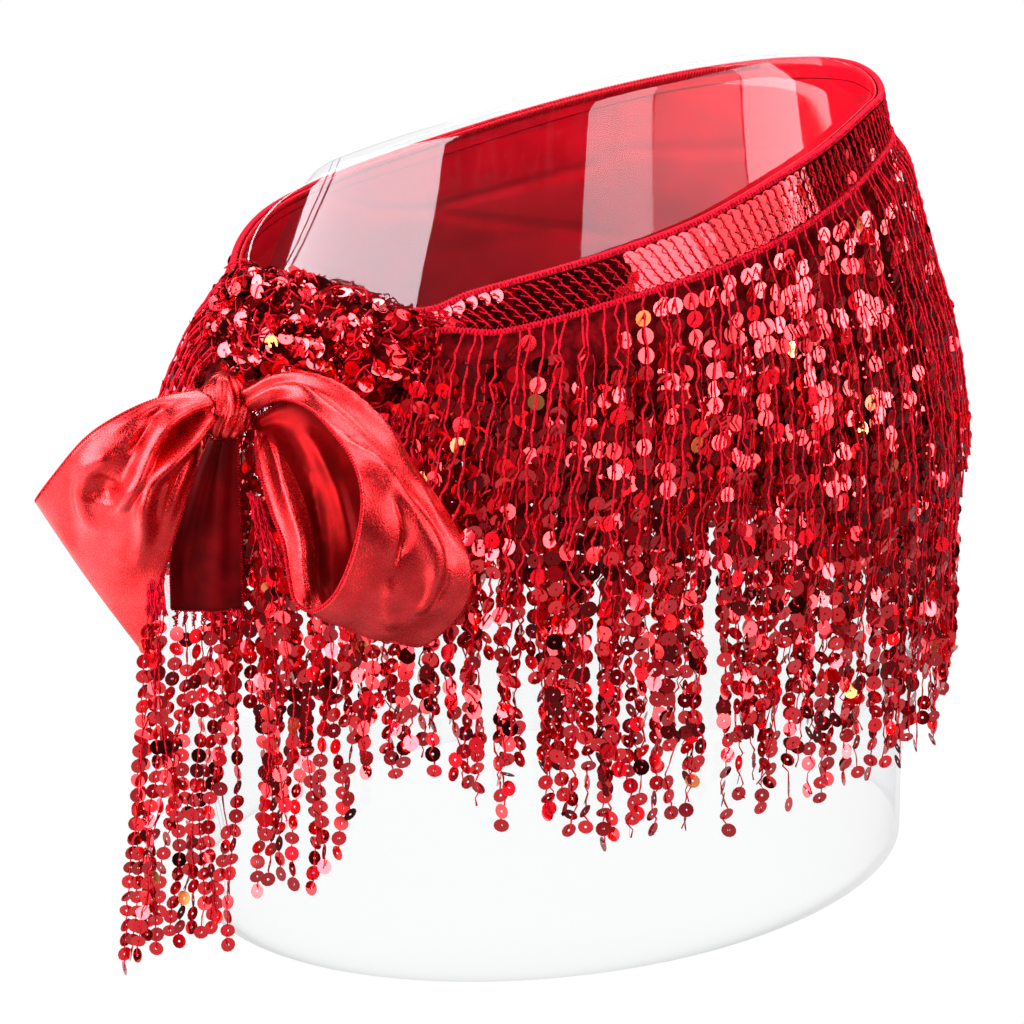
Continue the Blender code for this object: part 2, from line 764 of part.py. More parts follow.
def scarf_knot():
    """The scarf's gathered, knotted ends: a lumpy roll along the band's end."""
    rings = []
    for k, row in enumerate(SCARF_KNOT):
        ring = []
        for i in range(KNOT_SIDES):
            angle = 2 * math.pi * i / KNOT_SIDES
            lump = 1 + KNOT_LUMP * math.sin(3 * angle + 2.1 * k)
            up = row.radius_up * lump * math.sin(angle)
            out = row.radius_out * lump * math.cos(angle)
            height = (row.height + up) * MM
            ring.append(over_cloth(row.bearing, height, (row.lift + out) * MM))
        rings.append(ring)
    lofted_body("scarf_knot", rings, "sequins")


def bow_knot():
    """The bow's wrapped centre, with upright gathers."""
    rings = []
    for j in range(1, BOW_KNOT_RINGS):
        tilt = math.pi * j / BOW_KNOT_RINGS
        forward = BOW_KNOT_FORWARD - BOW_KNOT_LEAN * max(math.cos(tilt), 0.0)
        ring = []
        for i in range(BOW_KNOT_SIDES):
            angle = 2 * math.pi * i / BOW_KNOT_SIDES
            pleat = 1 - PLEAT_DEPTH + PLEAT_DEPTH * math.cos(BOW_KNOT_PLEATS * angle)
            reach = math.sin(tilt) ** BOW_KNOT_SQUARE * pleat
            ring.append(
                bow_point(
                    BOW_KNOT_HALF.x / MM * reach * math.cos(angle),
                    BOW_KNOT_HALF.y / MM * reach * math.sin(angle) + forward / MM,
                    BOW_KNOT_HALF.z / MM * math.cos(tilt),
                )
            )
        rings.append(ring)
    lofted_body("bow_knot", rings, "lame")


def bow():
    """The lame tie: wrapped centre, two loops, and a fringed tail."""
    bow_knot()
    ribbon("bow_loop_left", LEFT_LOOP)
    ribbon("bow_loop_right", RIGHT_LOOP)
    ribbon("tail_panel", TAIL_PANEL)
    hung_strands("tail_fringe", TAIL_FRINGE, TAIL_FRINGE_STRANDS, HEADER_HEIGHT, TAIL_STRAND_HALF)
    hung_strands("corner_tassel", CORNER_TASSEL, CORNER_STRANDS, TASSEL_HEADER, TASSEL_STRAND_HALF)


def stand_on_origin():
    """Moves every object's points so that the whole box stands centred on the origin."""
    bpy.context.view_layer.update()
    graph = bpy.context.evaluated_depsgraph_get()
    low, high = np.full(3, np.inf), np.full(3, -np.inf)
    for obj in bpy.context.scene.objects:
        evaluated = obj.evaluated_get(graph)
        mesh = evaluated.to_mesh()
        points = np.empty(len(mesh.vertices) * 3, np.float32)
        mesh.vertices.foreach_get("co", points)
        points = points.reshape(-1, 3)
        low, high = np.minimum(low, points.min(0)), np.maximum(high, points.max(0))
        evaluated.to_mesh_clear()
    shift = -Vector((*((low + high) / 2)[:2], low[2]))
    for obj in bpy.context.scene.objects:
        if obj.type == "MESH":
            for vert in obj.data.vertices:
                vert.co += shift
        else:
            for place in obj.data.splines[0].points:
                place.co = (*(place.co.to_3d() + shift), 1.0)


def main():
    clear_scene()
    clear_form()
    skirt_cloth()
    waistband()
    fringe_rows()
    gathered_end()
    end_fringe()
    scarf_knot()
    bow()
    stand_on_origin()


main()
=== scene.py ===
"""Dresses a belly dance hip scarf: strung sequins, braids, satin, a metallic bow and its form.

Lengths in the tables are millimetres and bearings are degrees about the hips: 0 is +X, 90 the
back, 180 is -X, where the scarf is tied, and 270 the front. Everything built is in metres.
"""

import json
import logging
import math
from dataclasses import dataclass, field
from typing import NamedTuple, Optional, Sequence

import bpy
import numpy as np
from mathutils import Matrix, Vector

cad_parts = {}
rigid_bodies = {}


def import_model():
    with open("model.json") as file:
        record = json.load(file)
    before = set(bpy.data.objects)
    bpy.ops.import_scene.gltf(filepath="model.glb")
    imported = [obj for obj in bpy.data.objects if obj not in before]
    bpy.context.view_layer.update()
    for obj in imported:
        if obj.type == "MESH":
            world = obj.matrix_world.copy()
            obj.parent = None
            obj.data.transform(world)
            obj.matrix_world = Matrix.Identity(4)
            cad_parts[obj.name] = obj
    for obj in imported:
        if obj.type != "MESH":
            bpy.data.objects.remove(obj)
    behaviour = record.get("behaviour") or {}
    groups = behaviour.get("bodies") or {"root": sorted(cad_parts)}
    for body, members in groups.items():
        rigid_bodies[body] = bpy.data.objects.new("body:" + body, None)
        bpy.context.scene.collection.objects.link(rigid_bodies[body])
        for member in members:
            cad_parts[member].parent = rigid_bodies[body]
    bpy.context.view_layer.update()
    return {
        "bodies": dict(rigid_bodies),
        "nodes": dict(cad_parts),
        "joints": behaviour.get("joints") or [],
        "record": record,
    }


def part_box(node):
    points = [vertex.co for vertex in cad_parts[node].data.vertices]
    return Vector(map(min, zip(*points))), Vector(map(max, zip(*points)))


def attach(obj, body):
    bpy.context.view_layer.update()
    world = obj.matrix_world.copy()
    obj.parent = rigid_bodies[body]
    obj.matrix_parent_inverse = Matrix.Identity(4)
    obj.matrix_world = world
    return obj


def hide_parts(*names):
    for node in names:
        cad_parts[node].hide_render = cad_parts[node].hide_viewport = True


LOG = logging.getLogger("hip_scarf")
MM = 0.001
TURN = 6.28
HALF_TURN = 3.14
BODY = "root"
WHITE = (1.0, 1.0, 1.0, 1.0)
UP = np.array([0.0, 0.0, 1.0])

Points = np.ndarray
Mesh = tuple[Points, Points]
Chance = np.random.Generator
Finish = bpy.types.Material
Piece = bpy.types.Object
Node = bpy.types.Node


# ---------------------------------------------------------------- the shape of hips and scarf


class FormRow(NamedTuple):
    """One level section of the hips."""

    height: float
    half_width: float
    half_depth: float
    lean: float


FORM_SECTIONS = (
    FormRow(-11, 160, 118.5, 0),
    FormRow(28, 160, 118.5, 0),
    FormRow(65, 166, 123, 0),
    FormRow(110, 171, 126.5, 0),
    FormRow(150, 172, 127, 0),
    FormRow(185, 167.5, 123.5, 2),
    FormRow(220, 157.5, 116, 6),
    FormRow(255, 143.5, 105.5, 8.5),
    FormRow(285, 133, 98, 10.5),
    FormRow(321, 121.5, 89.5, 12.5),
    FormRow(340, 117, 86, 13.5),
    FormRow(360, 115, 84.5, 14),
)
HIP_HEIGHT = 150.0
FORM_FOOT = -11.0

# Each table below is read smoothly between its rows of a bearing and a height or a rise.
EDGE_HEIGHT = 288.4
EDGE_RISE = 32.8
EDGE_PULL = ((0, 0), (35, -2.5), (70, -3), (100, -1), (125, 4), (145, 7.5), (165, 4.5),
             (185, 0), (215, -1), (222, -1.2), (226, -1.1), (230, 1.6), (236, 3.1), (243, 3.8),
             (255, 4.2), (262, 4.2), (270, 4.4), (277, 5.3), (285, 6.2), (296, 6.4), (311, 6.5),
             (320, 5.1), (330, 1.6), (340, 0.3), (360, 0))
FORM_RIM = ((0, 1), (35, 4), (90, 6), (150, 4), (174, 1.6), (179, 1.5), (181, 3), (183, 16),
            (185, 36), (187, 46.5), (189, 50), (192, 53.2), (198, 57.3), (205, 61), (216, 65.3),
            (226, 67), (230, 65), (236, 63.5), (245, 62.1), (260, 58.8), (275, 52), (290, 40.7),
            (302, 26.5), (312, 10.5), (322, 2.5), (335, 1.5), (360, 1))
BAND_SHAPE = ((204, 11), (222, 11), (226, 10), (230, 6), (236, 1.2), (243, 0), (255, -0.3),
              (262, -0.8), (270, -2.2), (277, -3.2), (285, -4.5), (296, -4.5), (311, -3.5),
              (325, -1.5), (340, 0), (556, 0))
CLOTH_EDGE = ((204, 238), (214, 226), (224, 220), (233, 217), (243, 209), (256, 199.5),
              (270, 191), (298, 161), (330, 150), (360, 145), (390, 150), (420, 165),
              (450, 185), (480, 197), (510, 209), (530, 206), (544, 212), (556, 222))
FRINGE_END = ((204, 145), (214, 110), (224, 78), (233, 80), (243, 58), (256, 50), (270, 49),
              (298, 45), (330, 42), (360, 42), (390, 44), (420, 47), (450, 52), (480, 73),
              (510, 113), (530, 125), (544, 135), (556, 145))
CLOTH_GAP = 1.15
CLOTH_WALL = 1.2
CLOTH_START, CLOTH_END = 205.0, 555.0
UPPER_ROOT_DROP = 21.0
HEM_MARGIN = 6.0
STRING_CLEAR = 5.4
THREAD_CLEAR = 0.8


def smooth_through(keys: Sequence[float], values: Sequence[float], at: Points) -> Points:
    """Reads a table smoothly between its rows.

    Args:
        keys: The table's rising keys.
        values: Its value at each key.
        at: Where to read it; past the ends it stays at the last value.

    Returns:
        The values, in the shape of `at`.
    """
    keys, values = np.asarray(keys, float), np.asarray(values, float)
    at = np.asarray(at, float)
    slopes = np.gradient(values, keys)
    i = np.clip(np.searchsorted(keys, at) - 1, 0, len(keys) - 2)
    span = keys[i + 1] - keys[i]
    t = np.clip((at - keys[i]) / span, 0.0, 1.0)
    return (
        (1 + 2 * t) * (1 - t) ** 2 * values[i]
        + t * (1 - t) ** 2 * span * slopes[i]
        + t * t * (3 - 2 * t) * values[i + 1]
        + t * t * (t - 1) * span * slopes[i + 1]
    )


def unit(vectors: Points) -> Points:
    """The vectors at length 1."""
    return vectors / np.maximum(np.linalg.norm(vectors, axis=-1, keepdims=True), 1e-12)


def stacked(*values: Points) -> Points:
    """Coordinates or angles of any matching shapes as one array, side by side."""
    return np.stack(np.broadcast_arrays(*values), -1)


@dataclass(frozen=True)
class HipShape:
    """The hips that the scarf is worn on, placed in the part's frame."""

    centre_x: float
    centre_y: float

    def origin(self) -> Points:
        """The hips' own zero in the part's frame, in millimetres."""
        return np.array([self.centre_x / MM, self.centre_y / MM, -FORM_FOOT])

    def section(self, height: Points, hanging: bool = True) -> Sequence[Points]:
        """The hips' level section at heights.

        Args:
            height: Heights in millimetres over the scarf's own zero.
            hanging: Whether what lies there falls straight below the hips.

        Returns:
            Half width, half depth and lean, in millimetres.
        """
        height = np.maximum(height, HIP_HEIGHT) if hanging else np.asarray(height, float)
        keys, *columns = zip(*FORM_SECTIONS)
        return [smooth_through(keys, column, height) for column in columns]

    def outward(self, bearing: Points, height: Points, hanging: bool = True) -> Points:
        """The level direction straight out from the hips.

        Args:
            bearing: Bearings in degrees.
            height: Heights in millimetres.
            hanging: Whether what lies there falls straight below the hips.

        Returns:
            Directions of length 1.
        """
        half_width, half_depth, _ = self.section(height, hanging)
        angle = np.radians(bearing)
        return unit(stacked(np.cos(angle) / half_width, np.sin(angle) / half_depth, 0.0))

    def point(self, bearing: Points, height: Points, lift: Points, hanging: bool = True) -> Points:
        """Points at `lift` outside the form.

        Args:
            bearing: Bearings in degrees.
            height: Heights in millimetres over the scarf's own zero.
            lift: Millimetres out from the form.
            hanging: Whether they fall straight below the hips.

        Returns:
            Points in metres in the part's frame, with one more axis than the arguments.
        """
        half_width, half_depth, lean = self.section(height, hanging)
        angle = np.radians(bearing)
        base = stacked(lean + half_width * np.cos(angle), half_depth * np.sin(angle), height)
        out = self.outward(bearing, height, hanging) * np.asarray(lift, float)[..., None]
        return (base + out + self.origin()) * MM

    def over_cloth(self, bearing: Points, height: Points, lift: Points) -> Points:
        """Points at `lift` outside the hip cloth's outer face."""
        return self.point(bearing, height, CLOTH_GAP + CLOTH_WALL + np.asarray(lift, float))

    def kept_outside(self, points: Points, lift: float) -> Points:
        """Moves points level outwards where they lie too near the form or inside it.

        Args:
            points: Points in metres in the part's frame.
            lift: The least distance from the form, in millimetres.

        Returns:
            The points, moved where they had to be.
        """
        x, y, height = np.moveaxis(points / MM - self.origin(), -1, 0)
        half_width, half_depth, lean = self.section(height)
        reach = np.hypot((x - lean) / (half_width + lift), y / (half_depth + lift))
        grown = 1.0 / np.minimum(reach, 1.0)
        return (stacked(lean + (x - lean) * grown, y * grown, height) + self.origin()) * MM

    def degree(self, bearing: Points, height: Points) -> Points:
        """How wide one degree of bearing is.

        Args:
            bearing: Bearings in degrees.
            height: Heights in millimetres.

        Returns:
            Millimetres.
        """
        half_width, half_depth, _ = self.section(height)
        angle = np.radians(bearing)
        return np.radians(np.hypot(half_width * np.sin(angle), half_depth * np.cos(angle)))

    def top_edge(self, bearing: Points) -> Points:
        """Height of the scarf's slanted top edge."""
        pull = smooth_through(*zip(*EDGE_PULL), np.mod(bearing, 360.0))
        return EDGE_HEIGHT + EDGE_RISE * np.cos(np.radians(bearing)) + pull

    def band_narrowed(self, bearing: Points) -> Points:
        """How much higher the band's lower side lies than its even width would put it."""
        return smooth_through(*zip(*BAND_SHAPE), bearing)

    def rim(self, bearing: Points) -> Points:
        """Height of the form's upper rim."""
        return self.top_edge(bearing) + smooth_through(*zip(*FORM_RIM), np.mod(bearing, 360.0))

    def cloth_edge(self, bearing: Points) -> Points:
        """Height of the hip cloth's lower edge."""
        return smooth_through(*zip(*CLOTH_EDGE), bearing)

    def fringe_end(self, bearing: Points) -> Points:
        """Height at which the lowest fringe ends."""
        return smooth_through(*zip(*FRINGE_END), bearing)

    def even_bearings(self, start: float, end: float, spacing: float, height: float) -> Points:
        """Bearings evenly spaced along the hips.

        Args:
            start: The first bearing.
            end: The last bearing.
            spacing: About how many millimetres lie between two of them.
            height: The height at which that is measured.

        Returns:
            The bearings in degrees, both ends among them.
        """
        fine = np.linspace(start, end, 2000)
        steps = self.degree(fine, np.full_like(fine, height)) * (fine[1] - fine[0])
        run = np.concatenate([[0.0], np.cumsum(steps[:-1])])
        count = max(int(round(run[-1] / spacing)), 1)
        return np.interp(np.linspace(0.0, run[-1], count + 1), run, fine)


# ---------------------------------------------------------------- finishes


class Nodes:
    """A small helper for one material's, one world's or one group's node tree."""

    def __init__(self, tree: bpy.types.NodeTree) -> None:
        """Keeps the tree that nodes are added to."""
        self.tree = tree

    def fill(self, node: Node, *values: object, **named: object) -> Node:
        """Gives a node its properties and its inputs.

        Args:
            node: The node.
            values: Its inputs in order: a number, a colour, a socket, or a node, which means
                that node's first output.
            named: Properties and further inputs by name, with _ for a space.

        Returns:
            The node.
        """
        for key, value in (*enumerate(values), *named.items()):
            if isinstance(key, str) and hasattr(node, key):
                setattr(node, key, value)
                continue
            socket = node.inputs[key.replace("_", " ") if isinstance(key, str) else key]
            source = value.outputs[0] if isinstance(value, Node) else value
            if isinstance(source, bpy.types.NodeSocket):
                self.tree.links.new(source, socket)
            else:
                socket.default_value = source
        return node

    def add(self, kind: str, *values: object, **named: object) -> Node:
        """Adds a shader node of a kind and fills it."""
        return self.fill(self.tree.nodes.new("ShaderNode" + kind), *values, **named)

    def math(self, operation: str, *values: object) -> Node:
        """Adds a sum, a product or another operation on its values."""
        return self.add("Math", *values, operation=operation)

    def attribute(self, name: str) -> bpy.types.NodeSocket:
        """The number that a mesh carries under that name."""
        return self.add("Attribute", attribute_name=name).outputs["Fac"]

    def ramp(self, value: object, stops: Sequence[tuple]) -> Node:
        """A colour ramp.

        Args:
            value: The socket or the node that it is read at.
            stops: A place from 0 to 1 and a colour for each of its stops.

        Returns:
            The ramp's node.
        """
        node = self.add("ValToRGB", value)
        ramp = node.color_ramp
        while len(ramp.elements) > 1:
            ramp.elements.remove(ramp.elements[-1])
        ramp.elements[0].position, ramp.elements[0].color = stops[0][0], (*stops[0][1], 1.0)
        for place, colour in stops[1:]:
            ramp.elements.new(place).color = (*colour, 1.0)
        return node

    def noise(self, scale: object, stretch: Optional[tuple] = None) -> Node:
        """Noise on the object's own coordinates.

        Args:
            scale: Its repeats to the metre, or a socket that gives them.
            stretch: How the coordinates are scaled along X, Y and Z, if at all.

        Returns:
            The noise's node.
        """
        place = self.add("TexCoord").outputs["Object"]
        if stretch:
            place = self.add("Mapping", Vector=place, Scale=stretch)
        return self.add("TexNoise", Vector=place, Scale=scale, Detail=3.0)

    def surface(self, shader: Node) -> None:
        """Makes a shader the material's surface."""
        self.fill(self.tree.nodes["Material Output"], Surface=shader)


def new_material(name: str) -> tuple[Finish, Nodes, Node]:
    """Makes a material.

    Args:
        name: Its name.

    Returns:
        The material, its helper and its Principled shader.
    """
    made = bpy.data.materials.new(name)
    made.use_nodes = True
    return made, Nodes(made.node_tree), made.node_tree.nodes["Principled BSDF"]


def grain_group() -> bpy.types.NodeTree:
    """The grain that all the cloths share, built once.

    Returns:
        A group that gives a fine grain and a patchy one at two given scales.
    """
    name = "cloth_grain"
    if name in bpy.data.node_groups:
        return bpy.data.node_groups[name]
    tree = bpy.data.node_groups.new(name, "ShaderNodeTree")
    inside, outside = tree.nodes.new("NodeGroupInput"), tree.nodes.new("NodeGroupOutput")
    nodes = Nodes(tree)
    for given, grain in (("Scale", "Grain"), ("Patches", "Patch")):
        for label, way in ((given, "INPUT"), (grain, "OUTPUT")):
            tree.interface.new_socket(label, in_out=way, socket_type="NodeSocketFloat")
        nodes.fill(outside, **{grain: nodes.noise(inside.outputs[given])})
    return tree


@dataclass(frozen=True)
class ClothFinish:
    """A woven finish: satin, metallic cloth or ribbon."""

    name: str
    deep: tuple
    bright: tuple
    roughness: float
    metallic: float = 0.0
    coat: float = 0.0
    grain_scale: float = 1500.0
    grain_height: float = 0.05
    patches: float = 60.0
    specular: float = 0.1

    def build(self) -> Finish:
        """Makes the material.

        Returns:
            A Principled material whose colour, roughness and relief follow the grain.
        """
        made, nodes, shader = new_material(self.name)
        grain = nodes.add("Group", node_tree=grain_group(), Scale=self.grain_scale,
                          Patches=self.patches)
        fine, patch = grain.outputs["Grain"], grain.outputs["Patch"]
        nodes.fill(
            shader,
            Base_Color=nodes.ramp(patch, ((0.35, self.deep), (0.68, self.bright))),
            Roughness=nodes.add("MapRange", fine, To_Min=self.roughness * 0.8,
                                To_Max=self.roughness * 1.25),
            Normal=nodes.add("Bump", Strength=0.6, Distance=self.grain_height * MM, Height=fine),
            Metallic=self.metallic,
            Specular_IOR_Level=self.specular,
            Coat_Weight=self.coat,
            Coat_Roughness=0.25,
        )
        return made


@dataclass(frozen=True)
class SequinFinish:
    """Mirror-bright coated film, a little different from disc to disc."""

    name: str
    tints: tuple
    roughness: float = 0.08
    worn_roughness: float = 0.30
    worn_from: float = 0.55
    coat: float = 0.9
    coat_roughness: float = 0.06

    def build(self) -> Finish:
        """Makes the material; the discs' own 'tint' attribute picks their colour and wear.

        Returns:
            A metallic Principled material under a clear coat.
        """
        made, nodes, shader = new_material(self.name)
        tint = nodes.attribute("tint")
        share = nodes.math("FRACT", nodes.math("MULTIPLY", tint, 13.0))
        nodes.fill(
            shader,
            Base_Color=nodes.ramp(tint, self.tints),
            Roughness=nodes.add("MapRange", share, self.worn_from, self.worn_from + 0.1,
                                self.roughness, self.worn_roughness),
            Metallic=1.0,
            Coat_Weight=self.coat,
            Coat_Roughness=self.coat_roughness,
        )
        return made


@dataclass(frozen=True)
class ThreadFinish:
    """Matte twisted yarn with fine fibres."""

    name: str
    deep: tuple
    bright: tuple
    twist_scale: float = 1400.0
    roughness: float = 0.62
    fibre_height: float = 0.15

    def build(self) -> Finish:
        """Makes the material.

        Returns:
            A Principled material with a fibre pattern in its colour and relief.
        """
        made, nodes, shader = new_material(self.name)
        fibre = nodes.noise(self.twist_scale, (1.0, 1.0, 0.6))
        nodes.fill(
            shader,
            Base_Color=nodes.ramp(fibre, ((0.36, self.deep), (0.62, self.bright))),
            Normal=nodes.add("Bump", Strength=0.7, Distance=self.fibre_height * MM, Height=fibre),
            Roughness=self.roughness,
            Specular_IOR_Level=0.05,
        )
        return made


@dataclass(frozen=True)
class ClearFinish:
    """Clear moulded plastic: what lies behind shows, and the gloss lies over it."""

    name: str
    tint: tuple
    gloss_tint: tuple = (1.0, 0.92, 0.99, 1.0)
    gloss_roughness: float = 0.025
    scuff_scale: float = 35.0
    index: float = 1.5
    most_gloss: float = 0.3
    seam_lines: tuple = ((0.0, 0.9), (4.6, 0.7))
    seam_height: float = 0.35
    # The see-through colour on the seam lines is darker: painted shade along the moulding seam,
    # beside its real relief.
    seam_shade_tint: tuple = (0.62, 0.60, 0.66)

    def build(self) -> Finish:
        """Makes the material; the form's 'polish' attribute says how much each face gleams.

        Returns:
            Transparent and glossy shaders mixed by Fresnel, faintly scuffed.
        """
        made, nodes, shader = new_material(self.name)
        made.node_tree.nodes.remove(shader)
        seam = self.seam(nodes)
        relief = nodes.add("Bump", Distance=self.seam_height * MM, Height=seam)
        # What shows through darkens on the seam lines: painted shade.
        tone = nodes.ramp(seam, ((0.0, self.tint), (1.0, self.seam_shade_tint)))
        scuff = nodes.noise(self.scuff_scale, (1.0, 1.0, 0.25))
        rough = nodes.add("MapRange", scuff, 0.4, 0.75, self.gloss_roughness,
                          self.gloss_roughness * 3)
        gloss = nodes.add("BsdfGlossy", Color=self.gloss_tint, Roughness=rough, Normal=relief)
        outside = nodes.math("SUBTRACT", 1.0, nodes.add("NewGeometry").outputs["Backfacing"])
        fresnel = nodes.add("Fresnel", IOR=self.index, Normal=relief)
        share = nodes.math("MULTIPLY", nodes.math("MULTIPLY", fresnel, outside),
                           nodes.attribute("polish"))
        capped = nodes.math("MINIMUM", share, self.most_gloss)
        nodes.surface(nodes.add("MixShader", capped, nodes.add("BsdfTransparent", tone), gloss))
        return made

    def seam(self, nodes: Nodes) -> Node:
        """The moulding's double seam, from the form's 'aside' attribute in millimetres.

        Args:
            nodes: The material's nodes.

        Returns:
            A mask that is 1 on the seam's two lines.
        """
        aside = nodes.attribute("aside")
        lines = []
        for place, half in self.seam_lines:
            off = nodes.math("ABSOLUTE", nodes.math("ADD", aside, place))
            lines.append(nodes.add("MapRange", off, 0.0, half, 1.0, 0.0,
                                   interpolation_type="SMOOTHSTEP"))
        return nodes.math("ADD", *lines)


class Wardrobe:
    """Every finish that the part wears, made once."""

    def __init__(self) -> None:
        """Builds the materials."""
        reds = ((0.0, (0.40, 0.001, 0.005)), (0.5, (0.74, 0.004, 0.011)),
                (0.9, (0.86, 0.006, 0.015)), (0.9945, (0.86, 0.006, 0.015)),
                (0.996, (0.95, 0.34, 0.09)))
        self.sequin = SequinFinish("sequin_red", reds).build()
        self.band_sequin = SequinFinish("sequin_band_red", reds[:3], worn_roughness=0.16).build()
        self.satin = ClothFinish("satin", (0.50, 0.001, 0.008), (0.64, 0.001, 0.011), 0.42,
                                 grain_height=0.02).build()
        self.net = ClothFinish("net_cloth", (0.035, 0.0002, 0.0008), (0.17, 0.0007, 0.003), 0.8,
                               patches=260.0, specular=0.04).build()
        # A very dark cloth for the bow's tail: painted shade, where the loops shade the tail.
        self.tail_shade = ClothFinish("tail_cloth_painted_shade", (0.045, 0.0003, 0.0008),
                                     (0.12, 0.0008, 0.002), 0.5, specular=0.03).build()
        self.lame = ClothFinish("metallic_cloth", (0.57, 0.011, 0.014), (0.74, 0.024, 0.029),
                                0.27, metallic=1.0, coat=0.25, grain_height=0.42,
                                patches=120.0, specular=0.5).build()
        # The lamé's dull back, made darker still to stand for the shade inside the loops: partly
        # its own colour, partly painted shade.
        self.lame_back_shaded = ClothFinish("metallic_cloth_back_shaded", (0.16, 0.0005, 0.001),
                                     (0.26, 0.001, 0.002), 0.45, metallic=0.6,
                                     grain_scale=1700.0, grain_height=0.08, patches=120.0).build()
        self.cord = ThreadFinish("crimson_cord", (0.17, 0.0004, 0.004),
                                 (0.55, 0.0025, 0.016)).build()
        self.braid = ThreadFinish("crimson_braid", (0.20, 0.001, 0.006), (0.62, 0.004, 0.022),
                                  1100.0).build()
        self.overlock = ThreadFinish("edge_thread", (0.13, 0.0006, 0.003), (0.46, 0.003, 0.009),
                                     1600.0).build()
        self.clear = ClearFinish("clear_plastic", (0.985, 0.99, 0.99)).build()


# ---------------------------------------------------------------- meshes


def mesh_piece(name: str, points: Points, faces: Points, finish: Finish,
               smooth: bool = True) -> Piece:
    """Makes an object of points and of faces that all have as many corners.

    Args:
        name: The piece's name.
        points: Its vertices, in metres.
        faces: Rows of vertex numbers, one row a face.
        finish: Its material.
        smooth: Whether it is shaded smooth.

    Returns:
        The object.
    """
    mesh = bpy.data.meshes.new(name)
    points = np.asarray(points, np.float32).reshape(-1, 3)
    faces = np.asarray(faces, np.int32)
    mesh.vertices.add(len(points))
    mesh.vertices.foreach_set("co", points.ravel())
    mesh.loops.add(faces.size)
    mesh.loops.foreach_set("vertex_index", faces.ravel())
    mesh.polygons.add(len(faces))
    first = np.arange(len(faces), dtype=np.int32) * faces.shape[1]
    mesh.polygons.foreach_set("loop_start", first)
    mesh.polygons.foreach_set("use_smooth", np.full(len(faces), smooth))
    mesh.update(calc_edges=True)
    mesh.materials.append(finish)
    obj = bpy.data.objects.new(name, mesh)
    bpy.context.scene.collection.objects.link(obj)
    return obj


def add_attribute(mesh: bpy.types.Mesh, name: str, values: Points) -> None:
    """Gives each of a mesh's points a number that its finish reads."""
    values = np.asarray(values, np.float32)
    mesh.attributes.new(name, "FLOAT", "POINT").data.foreach_set("value", values)


def dress(obj: Piece, slot: str, *nodes: str) -> Piece:
    """Rides a piece on the part and hides the solids that it stands for.

    Args:
        obj: The piece.
        slot: The part of the scarf that it belongs to; not used.
        nodes: The solids that it replaces, if any.

    Returns:
        The piece.
    """
    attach(obj, BODY)
    if nodes:
        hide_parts(*nodes)
    LOG.info("%s: %d faces, in place of %s", obj.name, len(obj.data.polygons), nodes or "nothing")
    return obj


def take_up(obj: Piece) -> None:
    """Selects one object alone, ready for the operators.

    Args:
        obj: The object.
    """
    bpy.ops.object.select_all(action="DESELECT")
    obj.select_set(True)
    bpy.context.view_layer.objects.active = obj


def cloth_piece(name: str, grid: Points, wall: float, finish: Finish,
                outer: Optional[Finish] = None) -> Piece:
    """A sheet of cloth through a grid of points, with its thickness outwards.

    Args:
        name: The piece's name.
        grid: Its inner face's points, (rows, columns, 3), in metres.
        wall: Its thickness in millimetres.
        finish: The material of its inner face.
        outer: The material of its outer face, where that is another.

    Returns:
        The finished sheet.
    """
    rows, columns = grid.shape[:2]
    corner = np.arange((rows - 1) * columns).reshape(rows - 1, columns)[:, :-1].ravel()
    faces = np.stack([corner, corner + columns, corner + columns + 1, corner + 1], -1)
    obj = mesh_piece(name, grid, faces, outer or finish)
    if outer:
        obj.data.materials.append(finish)
    thick = obj.modifiers.new("wall", "SOLIDIFY")
    thick.thickness = wall * MM
    thick.offset = 1.0
    thick.use_even_offset = False
    thick.material_offset = thick.material_offset_rim = 1 if outer else 0
    take_up(obj)
    bpy.ops.object.modifier_apply(modifier=thick.name)
    return obj


def tubes(paths: Points, radius: Points, toward: Points) -> Mesh:
    """Four-sided cords along many paths of the same number of points.

    Args:
        paths: Array of (cords, points, 3), in metres.
        radius: A radius in millimetres, or one for each point.
        toward: A direction for each point, not along the path, from which its sides are turned.

    Returns:
        Vertices and quads, closed at the ends.
    """
    cords, count = paths.shape[:2]
    along = unit(np.gradient(paths, axis=1))
    across = unit(np.cross(along, toward))
    over = np.cross(across, along)
    angle = np.pi / 2 * np.arange(4)
    radius = np.broadcast_to(np.asarray(radius, float) * MM, (cords, count))[..., None, None]
    ring = (
        np.cos(angle)[None, None, :, None] * across[:, :, None, :]
        + np.sin(angle)[None, None, :, None] * over[:, :, None, :]
    )
    points = paths[:, :, None, :] + ring * radius
    side, step = np.arange(4), np.arange(count - 1)[:, None] * 4
    after = (side + 1) % 4
    quads = np.stack([step + side, step + after, step + 4 + after, step + 4 + side], -1)
    ends = np.array([side[::-1], (count - 1) * 4 + side])
    quads = np.concatenate([quads.reshape(-1, 4), ends])
    faces = (quads[None] + (np.arange(cords) * count * 4)[:, None, None]).reshape(-1, 4)
    return points.reshape(-1, 3), faces


def thread(path: Points, radius: Points, toward: Points) -> Mesh:
    """One four-sided cord along a path, its radius in millimetres."""
    return tubes(path[None], radius, np.broadcast_to(toward, path.shape)[None])


